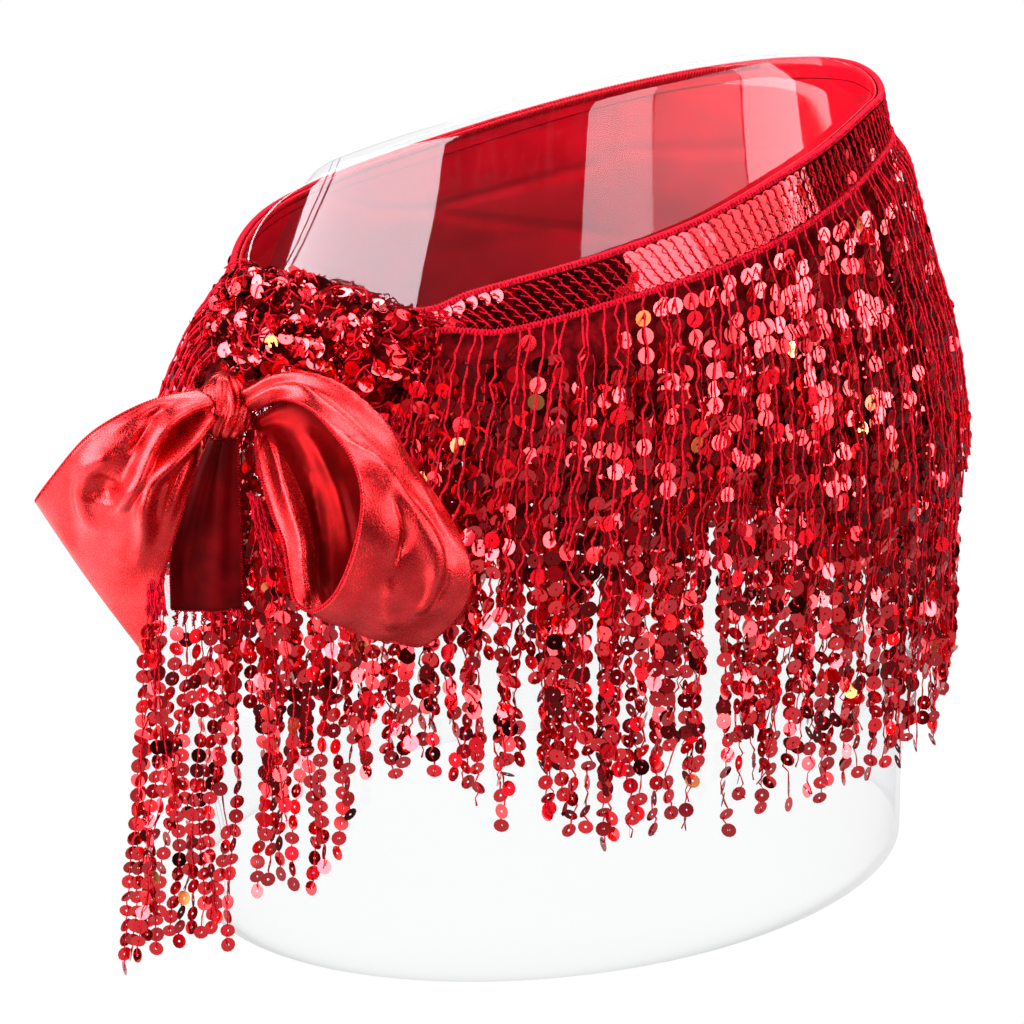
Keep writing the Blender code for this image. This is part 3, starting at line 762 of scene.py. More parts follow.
def rope(path: Points, toward: Points, wind: float, radius: float, pitch: float,
         steps: int = 6) -> Mesh:
    """Two strands twisted about a path.

    Args:
        path: The middle line, (points, 3), in metres.
        toward: A direction for each point, not along the path.
        wind: How far each strand's middle lies from the path, in millimetres.
        radius: Each strand's radius, in millimetres.
        pitch: Length of one turn in millimetres, negative where it turns the other way.
        steps: Points to a turn.

    Returns:
        Vertices and quads.
    """
    run = np.concatenate([[0.0], np.cumsum(np.linalg.norm(np.diff(path, axis=0), axis=1))])
    count = max(int(run[-1] / abs(pitch * MM) * steps), 4)
    at = np.linspace(0.0, run[-1], count)
    middle, face = (
        np.stack([np.interp(at, run, line[:, k]) for k in range(3)], -1) for line in (path, toward)
    )
    face = unit(face)
    along = unit(np.gradient(middle, axis=0))
    across = unit(np.cross(along, face))
    over = np.cross(across, along)
    lines = []
    for strand in range(2):
        turn = 2 * np.pi * (at / (pitch * MM) + strand / 2)
        off = np.cos(turn)[:, None] * across + np.sin(turn)[:, None] * over
        lines.append(middle + off * (wind * MM))
    return tubes(np.stack(lines), radius, np.stack([face, face]))


def merged(parts: Sequence[Mesh]) -> Mesh:
    """Several meshes' vertices and faces as one."""
    starts = np.cumsum([0] + [len(points) for points, _ in parts[:-1]])
    points = np.concatenate([points for points, _ in parts])
    return points, np.concatenate([faces + start for (_, faces), start in zip(parts, starts)])


def thread_piece(name: str, parts: Sequence[Mesh], finish: Finish, slot: str,
                 *nodes: str) -> Piece:
    """Many threads as one dressed piece."""
    return dress(mesh_piece(name, *merged(parts), finish), slot, *nodes)


@dataclass(frozen=True)
class Sequin:
    """One flat disc, modelled once and stamped wherever a disc hangs."""

    radius: float = 3.0
    hole: float = 0.5
    sides: int = 12

    def cut(self) -> Mesh:
        """Models the disc: a filled circle, inset, and its middle taken out.

        Returns:
            The disc's vertices in metres, facing +Z, and its quads.
        """
        bpy.ops.object.select_all(action="DESELECT")
        bpy.ops.mesh.primitive_circle_add(
            vertices=self.sides, radius=self.radius * MM, fill_type="NGON", location=(0, 0, 0)
        )
        disc = bpy.context.object
        bpy.ops.object.mode_set(mode="EDIT")
        bpy.ops.mesh.select_all(action="SELECT")
        bpy.ops.mesh.inset(thickness=(self.radius - self.hole) * MM, use_even_offset=False)
        bpy.ops.mesh.delete(type="ONLY_FACE")
        bpy.ops.mesh.select_all(action="SELECT")
        bpy.ops.mesh.normals_make_consistent(inside=False)
        bpy.ops.object.mode_set(mode="OBJECT")
        data = disc.data
        points = np.array([vert.co for vert in data.vertices])
        faces = np.array([face.vertices[:] for face in data.polygons if len(face.vertices) == 4])
        bpy.data.objects.remove(disc, do_unlink=True)
        bpy.data.meshes.remove(data)
        return points, faces


def turned(first: Points, second: Points, angle: Points) -> tuple[Points, Points]:
    """Two upright directions, turned in their plane from the first towards the second."""
    return (first * np.cos(angle) + second * np.sin(angle),
            second * np.cos(angle) - first * np.sin(angle))


@dataclass
class Discs:
    """Discs gathered for one piece: where each is and how it is turned."""

    places: list = field(default_factory=list)
    frames: list = field(default_factory=list)

    def add(self, places: Points, out: Points, up: Points, yaw: Points, pitch: Points,
            roll: Points) -> None:
        """Adds discs.

        Args:
            places: Their middles, in metres.
            out: The way each would face if it hung flat.
            up: The way its string runs.
            yaw: Turn about the string, in degrees.
            pitch: Nod, in degrees.
            roll: Turn in its own plane, in degrees.
        """
        out = unit(out)
        across = unit(np.cross(up, out))
        up = np.cross(out, across)
        yaw, pitch, roll = (np.radians(turn)[:, None] for turn in (yaw, pitch, roll))
        face, side = turned(out, across, yaw)
        face, rise = turned(face, up, pitch)
        side, rise = turned(side, rise, roll)
        self.places.append(places)
        self.frames.append(np.stack([side, rise, face], -1))

    def piece(self, name: str, disc: Mesh, finish: Finish, chance: Chance, slot: str,
              *nodes: str) -> None:
        """Stamps all the discs into one dressed piece with a tint for each.

        Args:
            name: The piece's name.
            disc: The disc to stamp.
            finish: Its material.
            chance: Picks the tints.
            slot: The part of the scarf that it belongs to.
            nodes: The solids that it replaces, if any.
        """
        places, frames = np.concatenate(self.places), np.concatenate(self.frames)
        shape, quads = disc
        points = places[:, None, :] + np.einsum("nij,kj->nki", frames, shape)
        faces = quads[None] + (np.arange(len(places)) * len(shape))[:, None, None]
        obj = mesh_piece(name, points, faces.reshape(-1, 4), finish, smooth=False)
        add_attribute(obj.data, "tint", np.repeat(chance.random(len(places)), len(shape)))
        dress(obj, slot, *nodes)


# ---------------------------------------------------------------- the clear form


@dataclass
class ClearForm:
    """The hollow hip form: a moulded tube with a thickened, rounded upper rim."""

    hips: HipShape
    finish: Finish
    wall: float = 2.0
    sides: int = 168
    rows: int = 44
    rim_drop: float = 0.25
    rim_rise: float = 0.35
    inner_polish: float = 0.25
    seam: tuple = ((250, 187.4), (260.5, 189.25), (276.5, 192.25), (310, 196.0), (330, 197.5))
    seam_degree: float = 2.5
    seam_reach: float = 30.0

    def build(self) -> None:
        """Draws the tube up ring by ring from its foot, then gives it its wall."""
        bearings = np.linspace(0.0, 360.0, self.sides, endpoint=False)
        bpy.ops.object.select_all(action="DESELECT")
        bpy.ops.mesh.primitive_circle_add(vertices=self.sides, radius=0.16, fill_type="NOTHING")
        tube = bpy.context.object
        tube.name = tube.data.name = "form_shell"
        bpy.ops.object.mode_set(mode="EDIT")
        for _ in range(self.rows):
            bpy.ops.mesh.extrude_region_move(TRANSFORM_OT_translate={"value": (0, 0, 0.01)})
        bpy.ops.object.mode_set(mode="OBJECT")
        rise = self.hips.rim(bearings) - FORM_FOOT
        share = np.linspace(0.0, 1.0, self.rows + 1)[:, None]
        rings = self.hips.point(bearings, FORM_FOOT + rise * share, -self.wall, hanging=False)
        tube.data.vertices.foreach_set("co", rings.astype(np.float32).ravel())
        tube.data.update()
        self.thicken(tube.data, bearings)
        tube.data.materials.append(self.finish)
        dress(tube, "clear_form", "clear_form")

    def thicken(self, mesh: bpy.types.Mesh, bearings: Points) -> None:
        """Gives the tube its wall, level outwards, rounds the upper rim and marks the seam.

        Args:
            mesh: The tube's mesh, ring by ring.
            bearings: The bearings of a ring's points.
        """
        count = len(mesh.vertices)
        inner = np.empty(count * 3, np.float32)
        mesh.vertices.foreach_get("co", inner)
        inner = inner.reshape(self.rows + 1, self.sides, 3)
        out = self.hips.outward(bearings, np.full(self.sides, HIP_HEIGHT), hanging=False)
        outer = inner + out[None] * (self.wall * MM)
        crown = (inner[-1] + outer[-1]) / 2 + UP * (self.rim_rise * MM)
        inner[-1][:, 2] -= self.rim_drop * MM
        outer[-1][:, 2] -= self.rim_drop * MM
        points = np.concatenate([inner.reshape(-1, 3), outer.reshape(-1, 3), crown])
        ring = np.arange(self.sides)
        after = (ring + 1) % self.sides
        top = self.rows * self.sides
        quads = []
        for low in range(0, top, self.sides):
            quads.append((low, low + self.sides))
            quads.append((low + self.sides + count, low + count))
        quads += [(count, 0), (top, 2 * count), (2 * count, top + count)]
        faces = np.concatenate([
            np.stack([first + after, first + ring, second + ring, second + after], -1)
            for first, second in quads
        ])
        mesh.clear_geometry()
        mesh.from_pydata(points.tolist(), [], faces.tolist())
        mesh.polygons.foreach_set("use_smooth", np.ones(len(faces), bool))
        polish = np.ones(len(points))
        polish[:count] = self.inner_polish
        add_attribute(mesh, "polish", polish)
        height = points[:, 2] / MM + FORM_FOOT
        around = np.concatenate([np.tile(bearings, 2 * (self.rows + 1)), bearings])
        aside = (around - np.interp(height, *zip(*self.seam))) * self.seam_degree
        aside = np.clip(aside, -self.seam_reach, self.seam_reach)
        aside[:count] = self.seam_reach
        add_attribute(mesh, "aside", aside)
        mesh.update()


# ---------------------------------------------------------------- cloth on the hips


class Crease(NamedTuple):
    """A soft line pressed into the hip cloth between two places."""

    bearing: float
    height: float
    to_bearing: float
    to_height: float
    rise: float
    width: float


HIP_CREASES = (
    Crease(124, 268, 108, 253.5, 0.9, 2.2),
    Crease(112, 255.5, 95, 248.5, 1.3, 2.0),
    Crease(99, 248.5, 78, 257.5, 1.7, 1.9),
    Crease(82, 255.5, 62, 266, 1.3, 2.2),
    Crease(98, 249.5, 77, 235.5, 1.7, 1.9),
    Crease(81, 238, 57, 226.5, 1.4, 2.1),
    Crease(66, 270.5, 44, 272, 1.2, 2.0),
    Crease(48, 270.5, 20, 278, 1.4, 2.1),
    Crease(112, 277, 60, 285, 0.4, 2.6),
    Crease(130, 246, 100, 236, 0.5, 4.0),
    Crease(60, 240, 30, 230, 0.5, 4.0),
    Crease(150, 240, 120, 262, 0.4, 3.4),
    Crease(20, 285, 50, 300, 0.5, 3.0),
    Crease(330, 250, 350, 220, 0.5, 4.0),
    Crease(300, 240, 320, 190, 0.5, 4.4),
    Crease(255, 235, 280, 215, 0.5, 4.0),
    Crease(10, 240, 355, 190, 0.5, 4.4),
    Crease(85, 225, 95, 196, 0.5, 4.0),
)


class EdgeTurn(NamedTuple):
    """One turning point of the stitch over the top edge."""

    bearing: float
    drop: float
    lift: float


EDGE_STITCH = (
    EdgeTurn(0.0, -0.3, 0.7),
    EdgeTurn(0.05, 0.3, -0.3),
    EdgeTurn(0.25, 1.5, -0.36),
    EdgeTurn(0.55, 2.9, -0.2),
)


@dataclass
class HipCloth:
    """The cloth round the hips: satin inside, net outside, lightly creased where it was folded."""

    hips: HipShape
    wardrobe: Wardrobe
    columns: int = 320
    rows: int = 60
    wall: float = 0.8
    wave: float = 0.4
    waves: int = 11
    slack: float = 0.1
    hem: float = 7.5
    hem_thread: float = 0.2
    stitch_spacing: float = 1.35
    edge_thread: float = 0.34
    flat: tuple = (0.18, 0.92)
    area: float = 0.0925

    def build(self) -> None:
        """Makes the cloth, its hem and its edge."""
        bearing = np.linspace(CLOTH_START, CLOTH_END, self.columns + 1)[None, :]
        share = np.linspace(0.0, 1.0, self.rows + 1)[:, None]
        top, bottom = self.hips.top_edge(bearing), self.hips.cloth_edge(bearing)
        height = top + (bottom - top) * share
        wave = (1 + np.sin(np.radians(bearing * self.waves))) / 2
        lift = CLOTH_GAP + self.slack + self.wave * share**3 * wave
        grid = self.hips.point(bearing, height, lift + self.creases(bearing, height))
        cloth = cloth_piece("hip_cloth", grid, self.wall, self.wardrobe.satin, self.wardrobe.net)
        self.seam()
        self.overlock()
        dress(cloth, "skirt_cloth", "skirt_cloth")

    def seam(self) -> None:
        """The line of stitches that holds the top hem, seen on the inside."""
        bearing = np.linspace(CLOTH_START + 2, CLOTH_END - 2, 420)
        height = self.hips.top_edge(bearing) - self.hem - 0.7 * np.sin(np.radians(bearing * 5))
        path = self.hips.point(bearing, height, np.full_like(bearing, CLOTH_GAP - 0.18))
        stitches = thread(path, self.hem_thread, self.hips.outward(bearing, height))
        thread_piece("hem_stitches", [stitches], self.wardrobe.net, "skirt_cloth")

    def overlock(self) -> None:
        """The slanting stitches over the top edge, seen on the inside at the back."""
        chance = np.random.default_rng(31)
        bearing = self.hips.even_bearings(30.0, 206.0, self.stitch_spacing, 290.0)
        turn, drop, lift = np.array(EDGE_STITCH).T
        around = bearing[:, None] + turn + chance.normal(0, 0.03, (len(bearing), 1))
        height = self.hips.top_edge(around) - drop + chance.normal(0, 0.08, around.shape)
        paths = self.hips.point(around, height, CLOTH_GAP + lift)
        stitches = tubes(paths, self.edge_thread, self.hips.outward(around, height))
        thread_piece("edge_stitches", [stitches], self.wardrobe.overlock, "skirt_cloth")

    def creases(self, bearing: Points, height: Points) -> Points:
        """How far the cloth lifts off along its creases.

        Args:
            bearing: Bearings in degrees.
            height: Heights in millimetres.

        Returns:
            Millimetres for each place.
        """
        total = np.zeros_like(height)
        for crease in HIP_CREASES:
            scale = self.hips.degree(crease.bearing, crease.height)
            turn = (np.mod(bearing, 360.0) - crease.bearing + 180.0) % 360.0 - 180.0
            x, y = turn * scale, height - crease.height
            reach = (crease.to_bearing - crease.bearing) * scale
            drop = crease.to_height - crease.height
            length = math.hypot(reach, drop)
            t = (x * reach + y * drop) / length**2
            off = (x * drop - y * reach) / length
            ends = np.clip(t * 5, 0, 1) * np.clip((1 - t) * 5, 0, 1)
            total += crease.rise * np.exp(-((off / crease.width) ** 2)) * ends
        return total


BAND_LEAN = ((222, -7), (285, -7), (292, 9), (320, 10), (420, 0), (543, 6))
COLUMN_SLANT = ((228, 4.0), (246, 3.4), (262, 2.6), (280, 1.8), (300, 1.2))
BRAIDS = (("top_braid_cord", "top_braid", 0.4), ("lower_braid_cord", "band_braid", 18.5))


@dataclass
class Waistband:
    """The band of flat overlapping sequins, its zigzag stitches and its two braids."""

    hips: HipShape
    wardrobe: Wardrobe
    start: float = 222.0
    end: float = 543.0
    top_drop: float = 2.4
    bottom_drop: float = 16.6
    disc_rows: int = 4
    disc_pitch: float = 4.4
    extra: float = 6.0
    degree: float = 2.4
    waist: float = 270.0
    net_lift: float = 0.4
    net_wall: float = 0.5
    disc_lift: float = 1.35
    row_lift: float = 0.28
    braid_lift: float = 1.7
    stitch_lift: float = 2.45
    tilt: float = 0.30
    tucked: tuple = (226.5, 236.0)
    tucked_lean: float = -19.0
    loose_lean: float = 31.0
    flat: tuple = (0.0145, 0.70)

    def build(self) -> None:
        """Makes the band's cloth, its discs, its stitches and the braids."""
        self.cloth()
        self.discs()
        self.stitches()
        for name, node, drop in BRAIDS:
            self.braid(name, node, drop)

    def at(self, bearing: Points, drop: Points, lift: Points) -> Points:
        """Points on the band.

        Args:
            bearing: Bearings in degrees.
            drop: Millimetres below the scarf's top edge, where the band is at its even width.
            lift: Millimetres outside the hip cloth.

        Returns:
            Points in metres.
        """
        share = np.clip((drop - self.top_drop) / (self.bottom_drop - self.top_drop), 0.0, 1.0)
        height = self.hips.top_edge(bearing) - drop + share * self.hips.band_narrowed(bearing)
        return self.hips.over_cloth(bearing, height, lift)

    def slant(self, bearing: Points) -> Points:
        """How far a column of discs steps aside from one row to the next, in millimetres."""
        return np.interp(bearing, *zip(*COLUMN_SLANT))

    def columns(self) -> Points:
        """The bearings at which the columns of discs start from the top."""
        return self.hips.even_bearings(self.start + 0.8 - self.extra, self.end - 0.8,
                                       self.disc_pitch, self.waist + 5.0)

    def cloth(self) -> None:
        """The dark net that carries the discs."""
        bearing = np.linspace(self.start, self.end, 260)[None, :]
        drop = np.linspace(self.top_drop, self.bottom_drop, 6)[:, None]
        grid = self.at(bearing, drop, self.net_lift)
        cloth = cloth_piece("band_cloth", grid, self.net_wall, self.wardrobe.net)
        dress(cloth, "sequin_band", "sequin_band")

    def discs(self) -> None:
        """The rows of overlapping discs, each column slanting a little."""
        chance = np.random.default_rng(41)
        places = Discs()
        pitch = (self.bottom_drop - self.top_drop) / self.disc_rows
        for row in range(self.disc_rows):
            drop = self.top_drop + pitch * (row + 0.5)
            bearing = self.columns()
            aside = row * self.slant(bearing) + chance.normal(0, 0.15, len(bearing))
            bearing = bearing + aside / self.degree
            bearing = bearing[(bearing > self.start + 0.5) & (bearing < self.end - 0.5)]
            count = len(bearing)
            lift = self.disc_lift + self.row_lift * (self.disc_rows - row) * 0.6
            lift = lift + chance.uniform(0, 0.1, count)
            spot = self.at(bearing, drop + chance.normal(0, 0.15, count), lift)
            out = self.hips.outward(bearing, self.hips.top_edge(bearing) - drop)
            lean = np.interp(bearing, *zip(*BAND_LEAN))
            tucked = (row == 0) & (bearing > self.tucked[0]) & (bearing < self.tucked[1])
            lean = np.where(tucked, self.tucked_lean, lean)
            loose = np.interp(bearing, (295, 307), (1.0, 4.2))
            loosened = chance.random(count) < np.interp(bearing, (297, 304), (0.0, 0.17))
            lean = np.where(loosened, lean - self.loose_lean, lean)
            out = out + self.tilt * UP
            places.add(spot, out, UP, lean + loose * chance.normal(0, 1.6, count),
                       -3 + loose * chance.normal(0, 1.6, count), chance.uniform(0, 360, count))
        places.piece("band_sequins", Sequin(radius=2.75, hole=0.4).cut(),
                     self.wardrobe.band_sequin, chance, "sequin_band")

    def stitches(self) -> None:
        """The threads down each column: a chain through the holes and a zigzag beside it."""
        chance = np.random.default_rng(43)
        pitch = (self.bottom_drop - self.top_drop) / self.disc_rows
        run = np.linspace(0.0, self.disc_rows, 2 * self.disc_rows + 1)
        count = len(run)
        parts = []
        for column in self.columns()[:-2]:
            wide = float(np.interp(column, (246, 268), (2.1, 1.25)))
            for swing, thick in ((0.0, 0.26), (wide, 0.22)):
                side = np.where(np.arange(count) % 2 == 0, -swing, swing * 0.4)
                side = side + (run - 0.5) * self.slant(column) + chance.normal(0, 0.16, count)
                bearing = np.clip(column + side / self.degree, self.start, self.end)
                drop = self.top_drop + pitch * run + chance.normal(0, 0.12, count)
                lift = self.stitch_lift + chance.normal(0, 0.10, count)
                path = self.at(bearing, drop, lift)
                toward = self.hips.outward(bearing, self.waist)
                parts.append(thread(path, thick, toward))
        thread_piece("band_stitches", parts, self.wardrobe.cord, "sequin_band")

    def braid(self, name: str, node: str, drop: float) -> None:
        """One braid along the band's edge: two fat strands twisted, with loops of chain over them.

        Args:
            name: The piece's name.
            node: The solid that it replaces.
            drop: How far it lies below the scarf's top edge, in millimetres.
        """
        bearing = np.linspace(self.start - 0.6, self.end + 0.6, 400)
        path = self.at(bearing, drop, self.braid_lift)
        toward = self.hips.outward(bearing, self.waist)
        core = rope(path, toward, 0.40, 0.72, 4.0, steps=5)
        loops = [rope(path, toward, 1.22, 0.32, pitch) for pitch in (2.9, -2.9)]
        thread_piece(name, [core, *loops], self.wardrobe.braid, node, node)


# ---------------------------------------------------------------- fringe


@dataclass(frozen=True)
class FringeRow:
    """One row of strung sequins round the hips."""

    name: str
    node: Optional[str]
    share: float
    reach: float
    start: float
    end: float
    root_lift: float
    hang_lift: float
    end_lift: float
    cord: float
    proud: float
    seed: int


FRINGE_ROWS = (
    FringeRow("row_1_at_band", "fringe_upper", 0, 0.58, 226, 540, 1.3, 6.0, 7.6, 0.44, 1.5, 101),
    FringeRow("row_2", None, 0.26, 0.38, 224.5, 540.5, 1.2, 4.8, 6.0, 0.32, 0.6, 102),
    FringeRow("row_3_middle", "fringe_middle", 0.5, 0.86, 223, 541, 1.1, 3.7, 5.4, 0.36, 1.1, 103),
    FringeRow("row_4", None, 0.76, 0.60, 221.5, 541.5, 1.1, 2.6, 3.6, 0.30, 0.6, 104),
    FringeRow("row_5_at_hem", "fringe_hem", 1.0, 1.0, 220, 542, 1.0, 1.4, 3.0, 0.32, 0.8, 105),
)
CLUMPS = ((23.0, 1.0, 0.4), (37.0, 1.3, 2.2), (67.0, 2.0, 5.0))


@dataclass
class HipFringe:
    """The rows of strung sequins that cover the hip cloth and hang below it."""

    hips: HipShape
    wardrobe: Wardrobe
    spacing: float = 5.7
    pitch: float = 6.5
    uneven: float = 15.0
    bare: float = 0.05
    thin: float = 0.55
    thin_length: float = 34.0
    slope: float = 9.0
    degree: float = 2.55
    first: float = 3.6
    free_after: float = 70.0
    turns_after: float = 60.0
    cord_hangs_after: float = 30.0
    flip: float = 70.0
    spread: float = 10.0
    free_spread: float = 25.0
    wiggle: float = 0.58
    knot: float = 0.26

    def build(self) -> None:
        """Makes every row's discs and cords."""
        near, far = Sequin(radius=3.25).cut(), Sequin(radius=3.08).cut()
        for row in FRINGE_ROWS:
            self.row(row, near if row.share in (0.0, 0.5) else far)

    def ends(self, row: FringeRow, bearing: Points) -> tuple[Points, Points]:
        """Where a row's strands start and end.

        Args:
            row: The row.
            bearing: The strands' bearings.

        Returns:
            The heights of their roots and of their ends, in millimetres.
        """
        upper = self.hips.top_edge(bearing) - UPPER_ROOT_DROP + self.hips.band_narrowed(bearing)
        hem = self.hips.cloth_edge(bearing) + HEM_MARGIN
        root = upper + (hem - upper) * row.share
        return root, root + (self.hips.fringe_end(bearing) - root) * row.reach

    def lift(self, row: FringeRow, below: Points, length: Points) -> Points:
        """How far out a strand lies.

        Args:
            row: The row it hangs in.
            below: Millimetres below its root.
            length: Its whole length in millimetres.

        Returns:
            Millimetres outside the hip cloth.
        """
        near, far = np.clip(below / 9.0, 0.0, 1.0), np.clip(below / length, 0.0, 1.0)
        return (row.root_lift + (row.hang_lift - row.root_lift) * near
                + (row.end_lift - row.hang_lift) * far)

    def free(self, bearing: Points, height: Points, over: float) -> Points:
        """How far strings hang free, from 0 at the cloth's edge to 1 at `over` below it."""
        return np.clip((self.hips.cloth_edge(bearing) - height) / over, 0.0, 1.0)

    def gathered(self, bearing: float, free: Points) -> Points:
        """How far strands lean together into loose clumps.

        Args:
            bearing: The strand's bearing.
            free: How far it hangs free at each place, from 0 to 1.

        Returns:
            Millimetres sideways.
        """
        run = bearing * self.degree
        lean = sum(size * math.sin(2 * math.pi * run / length + phase)
                   for length, size, phase in CLUMPS)
        return lean * free

    def row(self, row: FringeRow, disc: Mesh) -> None:
        """One row's discs and cords.

        Args:
            row: The row.
            disc: The disc that is strung on it.
        """
        chance = np.random.default_rng(row.seed)
        bearing = self.hips.even_bearings(row.start, row.end, self.spacing, 180.0)
        bearing = bearing + chance.normal(0.0, 0.6, len(bearing))
        root, end = self.ends(row, bearing)
        end = end + chance.uniform(-2.0, self.uneven, len(bearing))
        strands, cords = Discs(), []
        for place in zip(bearing, root, end):
            self.strand(row, chance, *place, strands, cords)
        slot, nodes = row.node or "fringe_upper", [row.node] if row.node else []
        strands.piece(row.name + "_discs", disc, self.wardrobe.sequin, chance, slot, *nodes)
        thread_piece(row.name + "_cords", cords, self.wardrobe.cord, slot)

    def strand(self, row: FringeRow, chance: Chance, bearing: float, root: float, end: float,
               strands: Discs, cords: list) -> None:
        """One string of discs, with the cord that runs over them.

        Args:
            row: The row it hangs in.
            chance: The row's own seeded chance.
            bearing: Where it is sewn.
            root: Height at which it is sewn.
            end: Height at which it ends.
            strands: Takes its discs.
            cords: Takes its cord.
        """
        length = root - end
        count = max(int((length - 3.0) / self.pitch), 2)
        start = self.first + chance.exponential(2.0)
        below = start + self.pitch * (np.arange(count) + chance.normal(0, 0.06, count))
        drift, sway = chance.normal(0.0, 1.4), chance.uniform(0.3, 1.2)
        phase, swing = chance.uniform(0, TURN), chance.uniform(30.0, 60.0)
        stand, twist = chance.normal(0.0, 0.5), chance.normal(0.0, 1.0)
        slow = chance.uniform(0, TURN)

        def at(down: Points, extra: Points) -> tuple[Points, Points, Points]:
            """Where the string runs.

            Args:
                down: Millimetres below its root.
                extra: Millimetres further out.

            Returns:
                Its bearings, heights and lifts.
            """
            part, height = down / length, root - down
            side = drift * np.maximum(part, 0.0) ** 1.5
            side = side + self.gathered(bearing, self.free(bearing, height, self.free_after))
            side = side + sway * (0.3 + part) * np.sin(down / swing * TURN + phase)
            lift = self.lift(row, down, length) + stand * np.clip(part * 3, 0, 1) + extra
            return bearing + side / self.hips.degree(bearing, height), height, lift

        around, height, lift = at(below, chance.normal(0, 0.3, count))
        spot = self.hips.over_cloth(around, height, lift)
        out = self.hips.outward(around, height)
        rise = np.gradient(spot, axis=0)
        free = self.free(bearing, height, self.turns_after)
        yaw = chance.normal(0, 1.0, count) * (self.spread + self.free_spread * free)
        yaw = yaw + twist * 22 * free * np.sin(below / 40 + slow)
        flips = chance.random(count) < 0.04 + 0.12 * free
        yaw = np.where(flips, yaw + chance.choice([-self.flip, self.flip], count), yaw)
        lain = np.clip((height - self.hips.cloth_edge(bearing) - 25.0) / 75.0, 0.0, 1.0)
        pitch = chance.normal(0, 1.0, count) * (9.0 + 4.0 * free) + 1.0 + self.slope * lain
        high = np.clip(1.2 - below / self.thin_length, 0.0, 1.0)
        high = high * np.interp(bearing, (238, 262), (1.0, 0.1)) * (row.share < 0.4)
        kept = chance.random(count) > self.bare * (1 + free) + self.thin * high
        strands.add(spot[kept], out[kept], -rise[kept], yaw[kept], pitch[kept],
                    chance.uniform(0, 360, int(kept.sum())))
        down = np.linspace(0.4 if row.share else -2.2, below[-1] + 2.0, 2 * count + 1)
        steps = len(down)
        around, level, proud = at(down, row.proud + chance.normal(0, 0.2, steps))
        hung = self.free(bearing, level, self.cord_hangs_after)
        proud = proud - hung * (row.proud + 0.6) * (chance.random() < 0.6)
        wiggle = chance.normal(0, self.wiggle, steps) + hung * chance.choice([-0.8, 0.8], steps)
        around = around + wiggle / self.hips.degree(bearing, level)
        path = self.hips.over_cloth(around, level, proud)
        knots = 1.0 + self.knot * (-1.0) ** np.arange(steps) + chance.normal(0, 0.06, steps)
        cords.append(thread(path, row.cord * knots, out[0]))


# ---------------------------------------------------------------- the bow and the tied ends


BOW_CENTRE = np.array([-166.0, -50.0, 228.0])
BOW_BEARING = 244.0


@dataclass(frozen=True)
class BowFrame:
    """The bow's own frame: U to the right, W out to the viewer, Z up, from its wrapped centre."""

    hips: HipShape

    def axes(self) -> tuple[Points, Points, Points]:
        """The frame's directions.

        Returns:
            U, W and Z, each of length 1.
        """
        angle = math.radians(BOW_BEARING)
        out = np.array([math.cos(angle), math.sin(angle), 0.0])
        right = np.array([-math.sin(angle), math.cos(angle), 0.0])
        return right, out, UP

    def point(self, u: Points, w: Points, z: Points) -> Points:
        """Points from places in the bow's frame.

        Args:
            u: Millimetres to the right.
            w: Millimetres out.
            z: Millimetres up.

        Returns:
            Points in metres in the part's frame.
        """
        right, out, up = self.axes()
        u, w, z = (np.asarray(value, float)[..., None] for value in (u, w, z))
        return (BOW_CENTRE + self.hips.origin() + right * u + out * w + up * z) * MM

    def row(self, start: tuple, change: tuple, count: int, above: Points = 0.0) -> Points:
        """Evenly spaced places in a straight row.

        Args:
            start: The first one's U, W and Z in millimetres.
            change: How far the last one lies from the first.
            count: How many.
            above: How much higher each is than that.

        Returns:
            Points in metres.
        """
        share = np.linspace(0, 1, count)
        u, w, z = (first + step * share for first, step in zip(start, change))
        return self.point(u, w, z + above)


class Station(NamedTuple):
    """One place along a ribbon: its two edges, and how the cloth between them stands."""

    near_u: float
    near_w: float
    near_z: float
    far_u: float
    far_w: float
    far_z: float
    arch: float
    folds: float


class Fold(NamedTuple):
    """A ridge through places of (station, share of the width); a trough where it sinks."""

    through: tuple
    rise: float
    width: float


